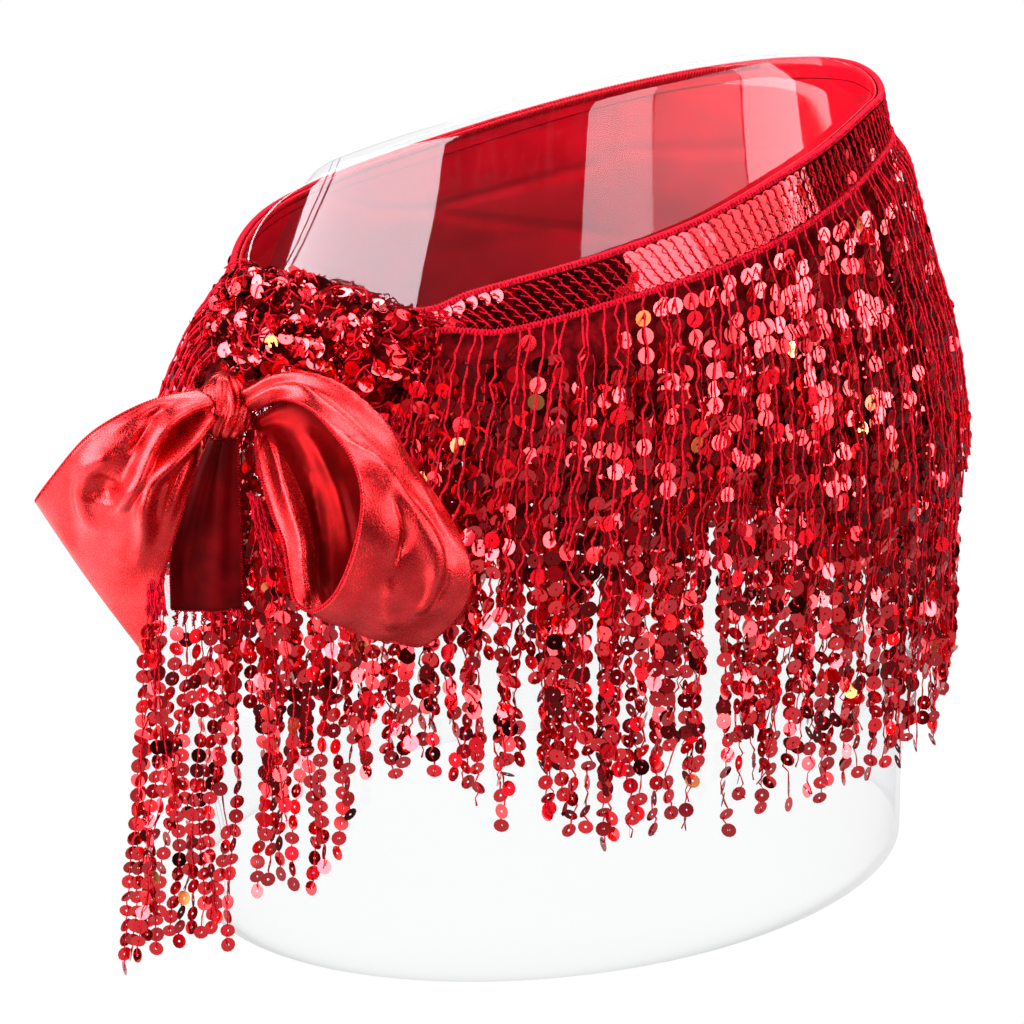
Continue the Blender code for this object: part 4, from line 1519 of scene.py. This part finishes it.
LEFT_LOOP = (
    Station(-9.9, 5, 8, -9.9, 6, -9, 2, 1.5),
    Station(-25, 14, 7, -12, 13, -22, 4, 2.4),
    Station(-39, 18, 1.5, -16.5, 17, -36.5, 5, 2.2),
    Station(-51, 18, -7, -22, 16, -53, 5, 1.4),
    Station(-63, 12, -22, -28, 12, -75, 3, 0.7),
    Station(-73, 3, -37, -33, 3, -101, 1, 0),
    Station(-66, -6, -34, -31, -7, -92, 2, 0.3),
    Station(-52, -12, -21, -27, -14, -69, 3, 0.7),
    Station(-34, -12, -9, -20, -14, -44, 3, 1.0),
    Station(-21, -8, 0, -14, -10, -23, 2, 1.2),
    Station(-9.9, -4, 5, -9.9, -5, -8, 1, 1.0),
)
RIGHT_LOOP = (
    Station(9.8, 4, 0, 8.9, 2, 10, 1, 0.8),
    Station(22, 16, 8, 27, 8, 15, 2, 1.2),
    Station(33, 32, 10, 45, 16, 9, 4, 1.4),
    Station(43, 46, 5, 60, 26, -1, 5, 1.4),
    Station(51, 57, -3, 74, 34, -16, 6, 1.3),
    Station(54, 63, -14, 85, 40, -31, 6, 1.2),
    Station(52.5, 64, -27, 92, 43, -47, 6, 1.0),
    Station(48, 60, -43, 91, 43, -62, 5, 0.8),
    Station(42, 55, -56, 83, 41, -74, 3, 0.6),
    Station(34, 48, -64, 72, 38, -82, 2, 0.4),
    Station(27.5, 43, -62.5, 60, 36, -76, 1, 0.3),
    Station(25, 39, -54, 54, 32, -63, 1, 0.3),
    Station(23, 35, -42, 56, 27, -42, 0, 0.3),
    Station(19, 29, -34, 52, 19, -18, 0, 0.3),
    Station(14.5, 19, -24, 41, 10, -2.5, 0, 0.5),
    Station(12.3, 12, -17, 26, 5, 4.0, 1, 0.6),
    Station(10.8, 6, -11, 12, 1, -4, 1, 0.8),
)
TAIL_PANEL = (
    Station(-6, 2, -12.0, 4, 2, -12.2, 0, 0.6),
    Station(-15, 3, -33, 4, 3, -34, 1, 1.0),
    Station(-22, 3, -58, 4, 3, -59, 2, 0.8),
    Station(-23, 3, -81, 4, 3, -81, 2, 0.5),
)
LEFT_FOLDS = (
    Fold(((0, 0.20), (1, 0.26), (2, 0.43), (2.8, 0.49), (3.5, 0.43)), 7.4, 3.0),
    Fold(((0, 0.52), (1, 0.60), (2, 0.55), (2.5, 0.62), (3, 0.76), (4, 0.80)), 7.1, 3.2),
    Fold(((0.2, 0.36), (1, 0.42), (1.6, 0.48), (2.4, 0.55), (3.2, 0.62)), -4.6, 2.4),
    Fold(((0.9, 0.10), (1.6, 0.24), (2.3, 0.32)), -2.8, 2.4),
    Fold(((0, 0.06), (1.2, 0.05), (2.6, 0.08)), 1.6, 1.8),
    Fold(((2.9, 0.30), (3.3, 0.33), (3.5, 0.36)), -3.9, 5.5),
    Fold(((2.4, 0.26), (2.9, 0.16), (3.6, 0.16), (4.0, 0.30), (3.8, 0.50)), 2.5, 3.2),
    Fold(((0.4, 0.80), (1.2, 0.84), (2.0, 0.86), (3.0, 0.93)), 2.8, 2.0),
    Fold(((1.6, 0.70), (2.2, 0.76), (2.7, 0.86)), 2.1, 1.6),
    Fold(((3.4, 0.06), (4.2, 0.20), (4.8, 0.42)), -1.6, 4.0),
    Fold(((6.0, 0.30), (7.6, 0.36), (9.6, 0.42)), 2.1, 3.0),
    Fold(((6.6, 0.68), (8.2, 0.66), (9.8, 0.62)), 1.8, 2.6),
)
RIGHT_FOLDS = (
    Fold(((0, 0.30), (1, 0.32), (2.2, 0.24)), 2.7, 2.0),
    Fold(((0, 0.75), (1.2, 0.72), (3.0, 0.66), (4.2, 0.72)), 3.2, 2.6),
    Fold(((2.4, 0.06), (4.2, 0.32), (5.2, 0.64), (6.3, 0.90)), -3.8, 2.4),
    Fold(((3.3, 0.06), (4.9, 0.34), (5.9, 0.60), (6.9, 0.80)), 4.1, 3.6),
    Fold(((4.6, 0.22), (5.6, 0.36), (6.6, 0.30)), -3.0, 1.9),
    Fold(((5.6, 0.72), (6.4, 0.76), (7.4, 0.70)), -2.4, 1.6),
    Fold(((6.0, 0.58), (6.8, 0.64), (7.6, 0.62)), 2.4, 1.8),
    Fold(((6.6, 0.30), (7.6, 0.42), (8.4, 0.60)), 2.2, 3.2),
    Fold(((9.4, 0.16), (11, 0.16), (13, 0.20), (14.4, 0.30), (15.6, 0.40)), -6.8, 3.6),
    Fold(((10.4, 0.46), (12, 0.42), (14, 0.46)), 3.5, 3.2),
    Fold(((11.4, 0.74), (13, 0.68), (14.6, 0.70)), -2.7, 3.0),
)
TAIL_FOLDS = (
    Fold(((0, 0.28), (1.4, 0.22), (3, 0.20)), 1.6, 2.0),
    Fold(((0, 0.62), (1.2, 0.68), (3, 0.72)), 1.6, 2.4),
)


@dataclass
class Ribbon:
    """A ribbon of metallic cloth through its stations, with its folds and its overlocked edges."""

    name: str
    node: str
    stations: Sequence[Station]
    folds: Sequence[Fold]
    frame: BowFrame
    wardrobe: Wardrobe
    flat: tuple
    area: float
    steps: int = 12
    columns: int = 52
    wall: float = 0.7
    fold_reach: float = 1.6
    out_of_reach: float = 99.0
    selvedge: float = 0.05
    edge_wind: float = 0.50
    edge_strand: float = 0.42
    edge_pitch: float = 2.3
    hemmed: bool = False
    finish: Optional[Finish] = None
    rolled: float = 0.0
    rolled_from: float = 0.0

    def build(self) -> None:
        """Makes the ribbon and its edges."""
        grid = self.grid()
        outer = self.finish or self.wardrobe.lame
        # The inner face wears the lamé's darker back: partly its dull back, partly painted shade
        # inside the loops.
        cloth = cloth_piece(self.name, grid, self.wall, self.wardrobe.lame_back_shaded, outer)
        self.roll_edge(cloth, grid)
        out = self.frame.axes()[1]
        edges = [grid[:, 0], grid[:, -1]] + ([grid[-1]] if self.hemmed else [])
        ropes = [
            rope(edge, np.broadcast_to(out, edge.shape), self.edge_wind, self.edge_strand,
                 self.edge_pitch)
            for edge in edges
        ]
        edging = mesh_piece(self.name + "_edging", *merged(ropes), self.wardrobe.overlock)
        dress(edging, self.node)
        dress(cloth, self.node, self.node)

    def grid(self) -> Points:
        """Works the cloth out from its stations, read smoothly, and its folds.

        Returns:
            The cloth's points, (rows, columns, 3), row by row along the ribbon, in metres.
        """
        places = np.arange(len(self.stations), dtype=float)
        at = np.linspace(0.0, places[-1], int(places[-1]) * self.steps + 1)
        table = np.array(self.stations, float).T
        rows = [smooth_through(places, column, at) for column in table]
        near, far = self.frame.point(*rows[:3]), self.frame.point(*rows[3:6])
        arch, folds = (row[:, None] for row in rows[6:])
        along = np.gradient((near + far) / 2, axis=0)
        outward = unit(np.cross(along, far - near))
        share = np.linspace(0.0, 1.0, self.columns + 1)
        bulge = arch * np.sin(np.pi * share)
        bulge = bulge + folds * np.sin(4 * np.pi * share) * np.sin(np.pi * share)
        flat = near[:, None] * (1 - share[:, None]) + far[:, None] * share[:, None]
        bulge = bulge + self.fold_height(at, near, far, flat)
        return flat + outward[:, None] * bulge[..., None] * MM

    def fold_height(self, at: Points, near: Points, far: Points, flat: Points) -> Points:
        """What the folds add.

        Args:
            at: The station of each row.
            near: One edge's points, row by row.
            far: The other edge's points.
            flat: The cloth's points before its folds, (rows, columns, 3), in metres.

        Returns:
            Millimetres for each point of the cloth.
        """
        total = np.zeros(flat.shape[:2])
        for fold in self.folds:
            places = np.array(fold.through, float)
            steps = np.arange(len(places), dtype=float)
            fine = np.linspace(0.0, steps[-1], 12 * len(places))
            station, share = (smooth_through(steps, column, fine) for column in places.T)
            low, high = (
                np.stack([np.interp(station, at, edge[:, k]) for k in range(3)], -1)
                for edge in (near, far)
            )
            line = low * (1 - share[:, None]) + high * share[:, None]
            gaps = np.linalg.norm(flat[:, :, None, :] - line[None, None], axis=-1) / MM
            near_by = np.abs(at[:, None, None] - station) < self.fold_reach
            gaps = np.where(near_by, gaps, self.out_of_reach)
            run = fine[gaps.argmin(-1)] / steps[-1]
            opens = 1.0 if places[0, 0] == 0 else np.clip(run * 4, 0, 1)
            ends = opens * np.clip((1 - run) * 3, 0, 1)
            ridge = np.exp(-((gaps.min(-1) / fold.width) ** 2))
            total += fold.rise * ends * ends * (3 - 2 * ends) * ridge
        share = np.linspace(0.0, 1.0, flat.shape[1])
        inside = np.clip(share / self.selvedge, 0, 1), np.clip((1 - share) / self.selvedge, 0, 1)
        return total * inside[0] * inside[1]

    def roll_edge(self, cloth: Piece, grid: Points) -> None:
        """Turns the bright side in along the near edge where the ribbon comes back to the wrap,
        where that edge catches the light; the rest of the inner face keeps the darker back, which
        is partly painted shade.

        Args:
            cloth: The ribbon's cloth.
            grid: The points that it was made through.
        """
        rows, columns = (size - 1 for size in grid.shape[:2])
        finishes = np.empty(len(cloth.data.polygons), np.int32)
        cloth.data.polygons.foreach_get("material_index", finishes)
        inner = np.flatnonzero(finishes == 1)[: rows * columns]
        row, column = np.divmod(np.arange(len(inner)), columns)
        bright = (column / columns < self.rolled) & (row >= int(self.rolled_from * self.steps))
        finishes[inner[bright]] = 0
        cloth.data.polygons.foreach_set("material_index", finishes)


@dataclass
class BowWrap:
    """The bow's wrapped centre: one turn of metallic cloth drawn into upright gathers."""

    frame: BowFrame
    wardrobe: Wardrobe
    half: tuple = (10.1, 11.0, 12.0)
    lean: float = 5.6
    forward: float = 1.0
    pleats: int = 9
    creases: int = 17

    def build(self) -> None:
        """Shapes a sphere into the gathered wrap."""
        bpy.ops.object.select_all(action="DESELECT")
        bpy.ops.mesh.primitive_uv_sphere_add(segments=128, ring_count=48, radius=1.0)
        wrap = bpy.context.object
        wrap.name = wrap.data.name = "bow_wrap"
        x, y, z = np.array([vert.co for vert in wrap.data.vertices]).T
        flat, angle = np.linalg.norm([x, y], axis=0), np.arctan2(y, x)
        squarer = np.where(flat > 1e-6, np.maximum(flat, 1e-6) ** -0.4, 0.0)
        wander = angle + 0.22 * np.sin(z * 2.4 + 1.0)
        pleat = 1 + 0.065 * np.cos(self.pleats * wander)
        pleat = pleat + 0.03 * np.cos(self.creases * wander + 3 * z)
        pleat = pleat * (1 - 0.07 * np.exp(-(z / 0.5) ** 2)) - 0.04
        u = x * squarer * pleat * self.half[0]
        w = y * squarer * pleat * self.half[1] + self.forward - self.lean * np.maximum(z, 0)
        placed = self.frame.point(u, w, z * self.half[2] * 0.98)
        wrap.data.vertices.foreach_set("co", placed.astype(np.float32).ravel())
        wrap.data.polygons.foreach_set("use_smooth", np.ones(len(wrap.data.polygons), bool))
        wrap.data.update()
        wrap.data.materials.append(self.wardrobe.lame)
        dress(wrap, "bow_knot", "bow_knot")


@dataclass
class ScarfKnot:
    """The scarf's two gathered ends in their knot, bristling with sequins."""

    hips: HipShape
    solid: Piece
    wardrobe: Wardrobe
    discs: int = 1050
    cords: int = 420
    gather: float = 0.8
    cord: float = 0.33

    def build(self) -> None:
        """Makes the knotted cloth, its discs and its loose cords."""
        chance = np.random.default_rng(61)
        spots, normals = self.scatter(self.body(), chance)
        self.sequins(spots[: self.discs], normals[: self.discs], chance)
        self.threads(spots[self.discs:], normals[self.discs:], chance)

    def body(self) -> Piece:
        """The knot's cloth: the solid's own shape, refined and drawn into twisted gathers.

        Returns:
            The finished cloth.
        """
        body = self.solid.copy()
        body.data = self.solid.data.copy()
        for key in list(body.keys()):
            del body[key]
        body.name = body.data.name = "knot_cloth"
        bpy.context.scene.collection.objects.link(body)
        body.parent = None
        body.hide_render = False
        take_up(body)
        bpy.ops.object.mode_set(mode="EDIT")
        bpy.ops.mesh.select_all(action="SELECT")
        bpy.ops.mesh.remove_doubles(threshold=0.00005)
        bpy.ops.mesh.tris_convert_to_quads()
        bpy.ops.object.mode_set(mode="OBJECT")
        finer = body.modifiers.new("finer", "SUBSURF")
        finer.levels = finer.render_levels = 3
        bpy.ops.object.modifier_apply(modifier=finer.name)
        mesh = body.data
        points, normals = np.empty((2, len(mesh.vertices), 3))
        mesh.vertices.foreach_get("co", points.ravel())
        mesh.vertices.foreach_get("normal", normals.ravel())
        x, y, z = points.T / MM
        wave = np.sin(z * 0.85 + x * 0.35) + 0.6 * np.sin(x * 0.9 - y * 0.6)
        points = points + normals * (wave[:, None] * self.gather - 0.6) * MM
        mesh.vertices.foreach_set("co", points.astype(np.float32).ravel())
        mesh.polygons.foreach_set("use_smooth", np.ones(len(mesh.polygons), bool))
        mesh.update()
        mesh.materials.clear()
        mesh.materials.append(self.wardrobe.net)
        return dress(body, "scarf_knot", "scarf_knot")

    def scatter(self, body: Piece, chance: Chance) -> tuple[Points, Points]:
        """Spreads places at random over the knot.

        Args:
            body: The knot's cloth.
            chance: The knot's own seeded chance.

        Returns:
            The places in metres, and the way out at each.
        """
        faces = body.data.polygons
        middles, normals = (np.array([getattr(face, what) for face in faces])
                            for what in ("center", "normal"))
        areas = np.array([face.area for face in faces])
        picked = chance.choice(len(areas), self.discs * 2, p=areas / areas.sum())
        return middles[picked], normals[picked]

    def sequins(self, spots: Points, normals: Points, chance: Chance) -> None:
        """Discs lying over each other and standing off at all angles.

        Args:
            spots: A place on the cloth for each.
            normals: The way out there.
            chance: The knot's own seeded chance.
        """
        count = len(spots)
        raised = spots + normals * (chance.uniform(0.5, 3.4, count) * MM)[:, None]
        up = unit(np.cross(normals, unit(chance.normal(0, 1, (count, 3)))))
        places = Discs()
        places.add(raised, normals, up, chance.normal(0, 24, count), chance.normal(0, 22, count),
                   chance.uniform(0, 360, count))
        places.piece("knot_sequins", Sequin().cut(), self.wardrobe.sequin, chance, "scarf_knot")

    def threads(self, spots: Points, normals: Points, chance: Chance) -> None:
        """Short crimson cords that wander over the knot.

        Args:
            spots: A place on the cloth for each, and more.
            normals: The way out there.
            chance: The knot's own seeded chance.
        """
        share = np.linspace(0.0, 1.0, 7)
        parts = []
        for spot, out in zip(spots[: self.cords], normals):
            heading = unit(np.cross(out, unit(chance.normal(0, 1, 3))))
            side = np.cross(out, heading)
            bend, rise = chance.normal(0, 2.0), chance.uniform(1.2, 3.4)
            arch = np.sin(share * HALF_TURN)
            path = (
                spot
                + heading * (share * chance.uniform(5, 11))[:, None] * MM
                + side * (arch * bend)[:, None] * MM
                + out * (arch * rise + 0.4)[:, None] * MM
            )
            path = self.hips.kept_outside(path, THREAD_CLEAR)
            parts.append(thread(path, self.cord, out + side * 0.3))
        thread_piece("knot_cords", parts, self.wardrobe.cord, "scarf_knot")


@dataclass
class HangingFringe:
    """A bunch of strung sequins that hangs free, with the cords it hangs from."""

    hips: HipShape
    wardrobe: Wardrobe
    facing: Points
    name: str
    node: str
    seed: int
    head_cords: int
    heads: Points
    roots: Points
    ends: Points
    stands_for: bool = True
    pitch: float = 6.4
    cord: float = 0.27
    head_cord: float = 0.34
    cord_end: float = 2.5
    edge_on: float = 75.0
    edge_on_share: float = 0.12

    def build(self) -> None:
        """Makes the discs and the cords."""
        chance = np.random.default_rng(self.seed)
        across = unit(self.facing + np.array([0.2, 0.1, 0]))
        strands, cords = Discs(), []
        for root, end, head in zip(self.roots, self.ends, self.heads):
            path, share = self.path(root, end, chance)
            self.hang(strands, path, share, chance)
            last = share[-1] + self.cord_end / (np.linalg.norm(root - end) / MM)
            fine = np.linspace(0.0, min(last, 1.0), 2 * len(path) + 2)
            line = np.stack([np.interp(fine, share, path[:, k]) for k in range(3)], -1)
            line = line + chance.normal(0, 0.3, line.shape) * MM
            line = line + self.facing * chance.choice([0.7, -0.5]) * MM
            line[0] = root
            cords.append(thread(line, self.cord, across))
            for _ in range(self.head_cords):
                line = head + (root - head) * np.linspace(0.0, 1.0, 10)[:, None]
                line = line + chance.normal(0, 0.55, line.shape) * MM + self.facing * 0.5 * MM
                cords.append(thread(line, self.head_cord, across))
        nodes = [self.node] if self.stands_for else []
        strands.piece(self.name + "_discs", Sequin().cut(), self.wardrobe.sequin, chance,
                      self.node, *nodes)
        thread_piece(self.name + "_cords", cords, self.wardrobe.cord, self.node)

    def path(self, root: Points, end: Points, chance: Chance) -> tuple[Points, Points]:
        """Where the discs' middles lie along one string.

        Args:
            root: Where the string is sewn, in metres.
            end: Where it ends.
            chance: The bunch's own seeded chance.

        Returns:
            The discs' middles in metres, and how far along the string each is, from 0 to 1.
        """
        length = np.linalg.norm(root - end) / MM
        discs = np.arange(int(length / self.pitch)) + chance.uniform(0.3, 1.2)
        share = discs * self.pitch / length
        side = unit(np.cross(self.facing, UP))
        amount, phase = chance.uniform(1.0, 3.0), chance.uniform(0, TURN)
        sway = amount * np.sin(share * chance.uniform(7, 13) + phase)
        sway = sway * np.sin(np.clip(share, 0, 1) * HALF_TURN) ** 0.5
        depth = chance.uniform(-2.0, 2.0) * np.sin(share * 5 + phase)
        line = root + (end - root) * share[:, None]
        line = line + (side * sway[:, None] + self.facing * depth[:, None]) * MM
        return self.hips.kept_outside(line, STRING_CLEAR), share

    def hang(self, strands: Discs, path: Points, share: Points, chance: Chance) -> None:
        """Hangs one string's discs, most facing out and some turned edge on.

        Args:
            strands: Takes the discs.
            path: Their middles, in metres.
            share: How far along the string each is, from 0 to 1.
            chance: The bunch's own seeded chance.
        """
        count, slow = len(path), chance.uniform(0, TURN)
        yaw = chance.normal(0, 24, count) + 30 * np.sin(share * 7 + slow)
        edge_on = chance.random(count) < self.edge_on_share
        yaw = np.where(edge_on, yaw + self.edge_on, yaw)
        strands.add(path, self.facing, -np.gradient(path, axis=0), yaw,
                    chance.normal(2, 10, count), chance.uniform(0, 360, count))


END_TOP = ((207, 231), (213, 229.8), (222.5, 228.2))
END_HEM = ((206.5, 206), (211, 204), (216, 198), (220, 190), (224, 182))
END_TIPS = ((206.5, 20), (211, 26), (216, 33), (220, 40), (224, 78))
END_LIFTS = np.array([0, 1.4, 0.3, 1.2, 0, 1.5, 0.4, 1.3, 0.2])


@dataclass
class TiedEnds:
    """Everything tied at the hip: the knot, the bow, and the fringe that hangs from them."""

    hips: HipShape
    nodes: dict
    wardrobe: Wardrobe
    columns: int = 90
    end_lift: float = 10.0
    pleat: float = 0.9
    flat: tuple = (0.048, 0.046)
    area: float = 0.00143

    def build(self) -> None:
        """Makes the pieces in the order in which they are tied."""
        frame = BowFrame(self.hips)
        tied = frame, self.wardrobe
        ScarfKnot(self.hips, self.nodes["scarf_knot"], self.wardrobe).build()
        BowWrap(*tied).build()
        Ribbon("bow_left", "bow_loop_left", LEFT_LOOP, LEFT_FOLDS, *tied,
               flat=(0.075, 0.20), area=0.0097).build()
        Ribbon("bow_right", "bow_loop_right", RIGHT_LOOP, RIGHT_FOLDS, *tied,
               flat=(0.06, 0.24), area=0.0101, rolled=0.34, rolled_from=9.4).build()
        # The tail's outer face wears the very dark finish: painted shade under the loops.
        Ribbon("bow_tail", "tail_panel", TAIL_PANEL, TAIL_FOLDS, *tied, flat=(0.030, 0.072),
               area=0.00174, hemmed=True, finish=self.wardrobe.tail_shade).build()
        self.gathered_end()
        self.fringes(frame)

    def gathered_end(self) -> None:
        """The scarf's front end, pleated between the knot and its fringe."""
        bearing = np.linspace(207.0, 222.5, self.columns)
        share = np.linspace(0.0, 1.0, 26)[:, None]
        top = smooth_through(*zip(*END_TOP), bearing)
        bottom = smooth_through(*zip(*END_HEM), bearing) + 0.4
        pleat = np.sin(np.linspace(0, 10 * np.pi, self.columns))
        pleat = pleat + 0.4 * np.sin(np.linspace(0, 23, self.columns))
        lift = self.end_lift + self.pleat * pleat * (1 - share)
        grid = self.hips.over_cloth(bearing, top + (bottom - top) * share, lift)
        cloth = cloth_piece("end_cloth", grid, 0.8, self.wardrobe.satin)
        dress(cloth, "gathered_end", "gathered_end")

    def fringes(self, frame: BowFrame) -> None:
        """The free-hanging fringe of the tail, of the scarf's corners and of its gathered end.

        Args:
            frame: The bow's frame.
        """
        chance, over, row = np.random.default_rng(77), self.hips.over_cloth, frame.row

        def bunch(*settings: object, **named: object) -> None:
            """Makes one bunch of hanging strings."""
            HangingFringe(self.hips, self.wardrobe, frame.axes()[1], *settings, **named).build()

        bunch("tail_strings", "tail_fringe", 71, 3,
              row((-21.5, 4.5, -81.5), (24.5, -0.5, 0), 8),
              row((-21.5, 4.5, -87), (24.5, -0.5, 0), 8),
              row((-33, 2, -233), (27, 0, 4), 8, chance.uniform(0, 16, 8)))
        bunch("corner_strings", "corner_tassel", 72, 6,
              row((-30, 13.4, -53), (5, 1.2, 0), 5),
              row((-31, 13.4, -79), (6, 1.2, 0), 5),
              row((-47, 11, -220), (12, -2, 0), 5, np.array([-15, -6, -11, 0, -9])))
        bearing, lift = np.linspace(206.5, 224.0, 9), 10.6 + END_LIFTS
        root, tip = (smooth_through(*zip(*table), bearing) for table in (END_HEM, END_TIPS))
        bunch("end_strings", "end_fringe", 73, 3, over(bearing, root, lift),
              over(bearing, root - 5, lift),
              over(bearing, tip + chance.uniform(0, 14, 9), lift))
        bearing, lift = np.linspace(194.0, 223.0, 22), chance.uniform(3.5, 8.5, 22)
        bunch("under_knot_strings", "end_fringe", 74, 2, over(bearing, 226.0, lift),
              over(bearing, 220.0, lift), over(bearing, chance.uniform(96, 150, 22), lift),
              stands_for=False)
        bunch("behind_wrap_strings", "end_fringe", 76, 3,
              row((2, -4, 3), (16, -2, 0), 7),
              row((3, -4, -1), (17, -2, 0), 7),
              row((4, -3, -70), (22, -3, 0), 7, -30 * chance.uniform(0, 1, 7)),
              stands_for=False)
        bunch("front_corner_strings", "end_fringe", 75, 5,
              row((9, 15, -29), (4, 1, -2), 4),
              row((15, 17, -58), (6, 1, 0), 4),
              row((12, 17, -140), (12, 3, 0), 4, np.array([-38, -10, -28, 0])),
              stands_for=False)


# ---------------------------------------------------------------- the studio


class Softbox(NamedTuple):
    """A soft rectangular light: where it stands and how bright it is."""

    name: str
    azimuth: float
    elevation: float
    distance: float
    width: float
    height: float
    power: float
    level: bool = False


SOFTBOXES = (
    Softbox("key_left", -94.0, 20.0, 1.5, 2.15, 0.95, 80.0),
    Softbox("middle_strip", 6.0, 13.0, 1.7, 0.58, 1.00, 11.5),
    Softbox("right_panel", 30.5, 13.0, 1.8, 0.88, 1.00, 7.0),
    Softbox("right_strip", 56.0, 12.0, 1.7, 0.64, 1.00, 13.0),
    Softbox("low_right", 45.0, 0.0, 1.7, 2.60, 0.35, 13.0),
    Softbox("table_left", -112.0, -14.7, 0.65, 0.60, 1.00, 4.4, level=True),
    Softbox("overhead", -10.0, 76.0, 1.5, 1.10, 0.9, 26.0),
    Softbox("back_light", 150.0, 50.0, 1.7, 1.30, 0.8, 34.0),
)
# The floor's colour in reflections by distance from its middle, in metres: painted light and
# shade, a bright ring that stands for a lit table and dark ground inside and beyond it.
FLOOR_PAINTED_LIGHT = ((0.13, (0.03,) * 3), (0.16, (0.24,) * 3), (0.34, (0.24,) * 3), (0.50, (0.04,) * 3))


@dataclass
class Studio:
    """The floor, the light and the camera."""

    hips: HipShape
    azimuth: float = -26.0
    elevation: float = 20.0
    distance: float = 1.288
    lens: float = 111.3
    sensor: float = 36.0
    aim: tuple = (-0.0365, -0.0305, 0.1695)
    floor_size: float = 8.0
    floor_drop: float = 0.0006
    sky: float = 0.85
    sky_in_gloss: float = 0.035

    def build(self) -> None:
        """Makes all of it."""
        self.world()
        self.floor()
        aim = np.array([self.hips.centre_x, self.hips.centre_y, 0.0]) + np.array(self.aim)
        for box in SOFTBOXES:
            self.softbox(box, aim)
        self.camera(aim)
        bpy.context.scene.view_settings.view_transform = "Standard"

    def away(self, azimuth: float, elevation: float) -> Points:
        """The direction from the part to a viewer.

        Args:
            azimuth: Degrees about the part, from the front.
            elevation: Degrees above its level.

        Returns:
            A direction of length 1.
        """
        turn, rise = math.radians(azimuth), math.radians(elevation)
        level = math.cos(rise)
        return np.array([math.sin(turn) * level, -math.cos(turn) * level, math.sin(rise)])

    def stand(self, name: str, data: bpy.types.ID, place: Points, aim: Points) -> Piece:
        """Stands a light or a camera upright in its place.

        Args:
            name: Its name.
            data: The light or the camera.
            place: Where it stands, in metres.
            aim: What it looks at.

        Returns:
            Its object.
        """
        obj = bpy.data.objects.new(name, data)
        bpy.context.scene.collection.objects.link(obj)
        turn = Vector(aim - place).to_track_quat("-Z", "Y")
        obj.matrix_world = Matrix.Translation(Vector(place)) @ turn.to_matrix().to_4x4()
        return obj

    def world(self) -> None:
        """White behind the part, and a dim studio in its reflections."""
        world = bpy.data.worlds.new("studio")
        bpy.context.scene.world = world
        world.use_nodes = True
        nodes = Nodes(world.node_tree)
        seen = nodes.add("LightPath").outputs
        dim = nodes.add("MapRange", seen["Is Glossy Ray"], To_Min=self.sky,
                        To_Max=self.sky_in_gloss)
        strength = nodes.math("MAXIMUM", seen["Is Camera Ray"], dim)
        nodes.fill(world.node_tree.nodes["Background"], WHITE, strength)

    def floor(self) -> None:
        """A plain pale floor, white where the camera sees it; in the part's reflections its colour
        is painted light and shade, dark near its middle and far off, and brighter in a ring
        between that stands for a lit table.
        """
        bpy.ops.object.select_all(action="DESELECT")
        bpy.ops.mesh.primitive_plane_add(size=self.floor_size, location=(0, 0, -self.floor_drop))
        floor = bpy.context.object
        floor.name = "floor"
        made, nodes, shader = new_material("floor_white")
        made.node_tree.nodes.remove(shader)
        place = nodes.add("TexCoord").outputs["Object"]
        reach = nodes.add("VectorMath", place, operation="LENGTH").outputs["Value"]
        painted_floor_light = nodes.add("BsdfDiffuse", nodes.ramp(reach, FLOOR_PAINTED_LIGHT))
        seen = nodes.add("LightPath").outputs["Is Camera Ray"]
        nodes.surface(nodes.add("MixShader", seen, painted_floor_light, nodes.add("Emission", WHITE, 1.0)))
        floor.data.materials.append(made)

    def softbox(self, box: Softbox, aim: Points) -> None:
        """One soft light.

        Args:
            box: Its place, size and power.
            aim: The point that the studio looks at, in metres.
        """
        data = bpy.data.lights.new(box.name, "AREA")
        data.shape = "RECTANGLE"
        data.size, data.size_y = box.width, box.height
        data.energy = box.power
        place = aim + self.away(box.azimuth, box.elevation) * box.distance
        upward = place + np.array([0.0, 0.001, 1.0])
        self.stand(box.name, data, place, upward if box.level else aim)

    def camera(self, aim: Points) -> None:
        """The camera.

        Args:
            aim: The point that it looks at, in metres.
        """
        data = bpy.data.cameras.new("camera")
        data.lens, data.sensor_width = self.lens, self.sensor
        place = aim + self.away(self.azimuth, self.elevation) * self.distance
        bpy.context.scene.camera = self.stand("camera", data, place, aim)


def main() -> None:
    """Loads the solids, dresses them and sets up the studio."""
    logging.basicConfig(level=logging.INFO, format="%(name)s %(message)s")
    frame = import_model()
    low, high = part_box("clear_form")
    hips = HipShape((low.x + high.x) / 2, (low.y + high.y) / 2)
    wardrobe = Wardrobe()
    ClearForm(hips, wardrobe.clear).build()
    HipCloth(hips, wardrobe).build()
    Waistband(hips, wardrobe).build()
    HipFringe(hips, wardrobe).build()
    TiedEnds(hips, frame["nodes"], wardrobe).build()
    Studio(hips).build()


if __name__ == "__main__":
    main()
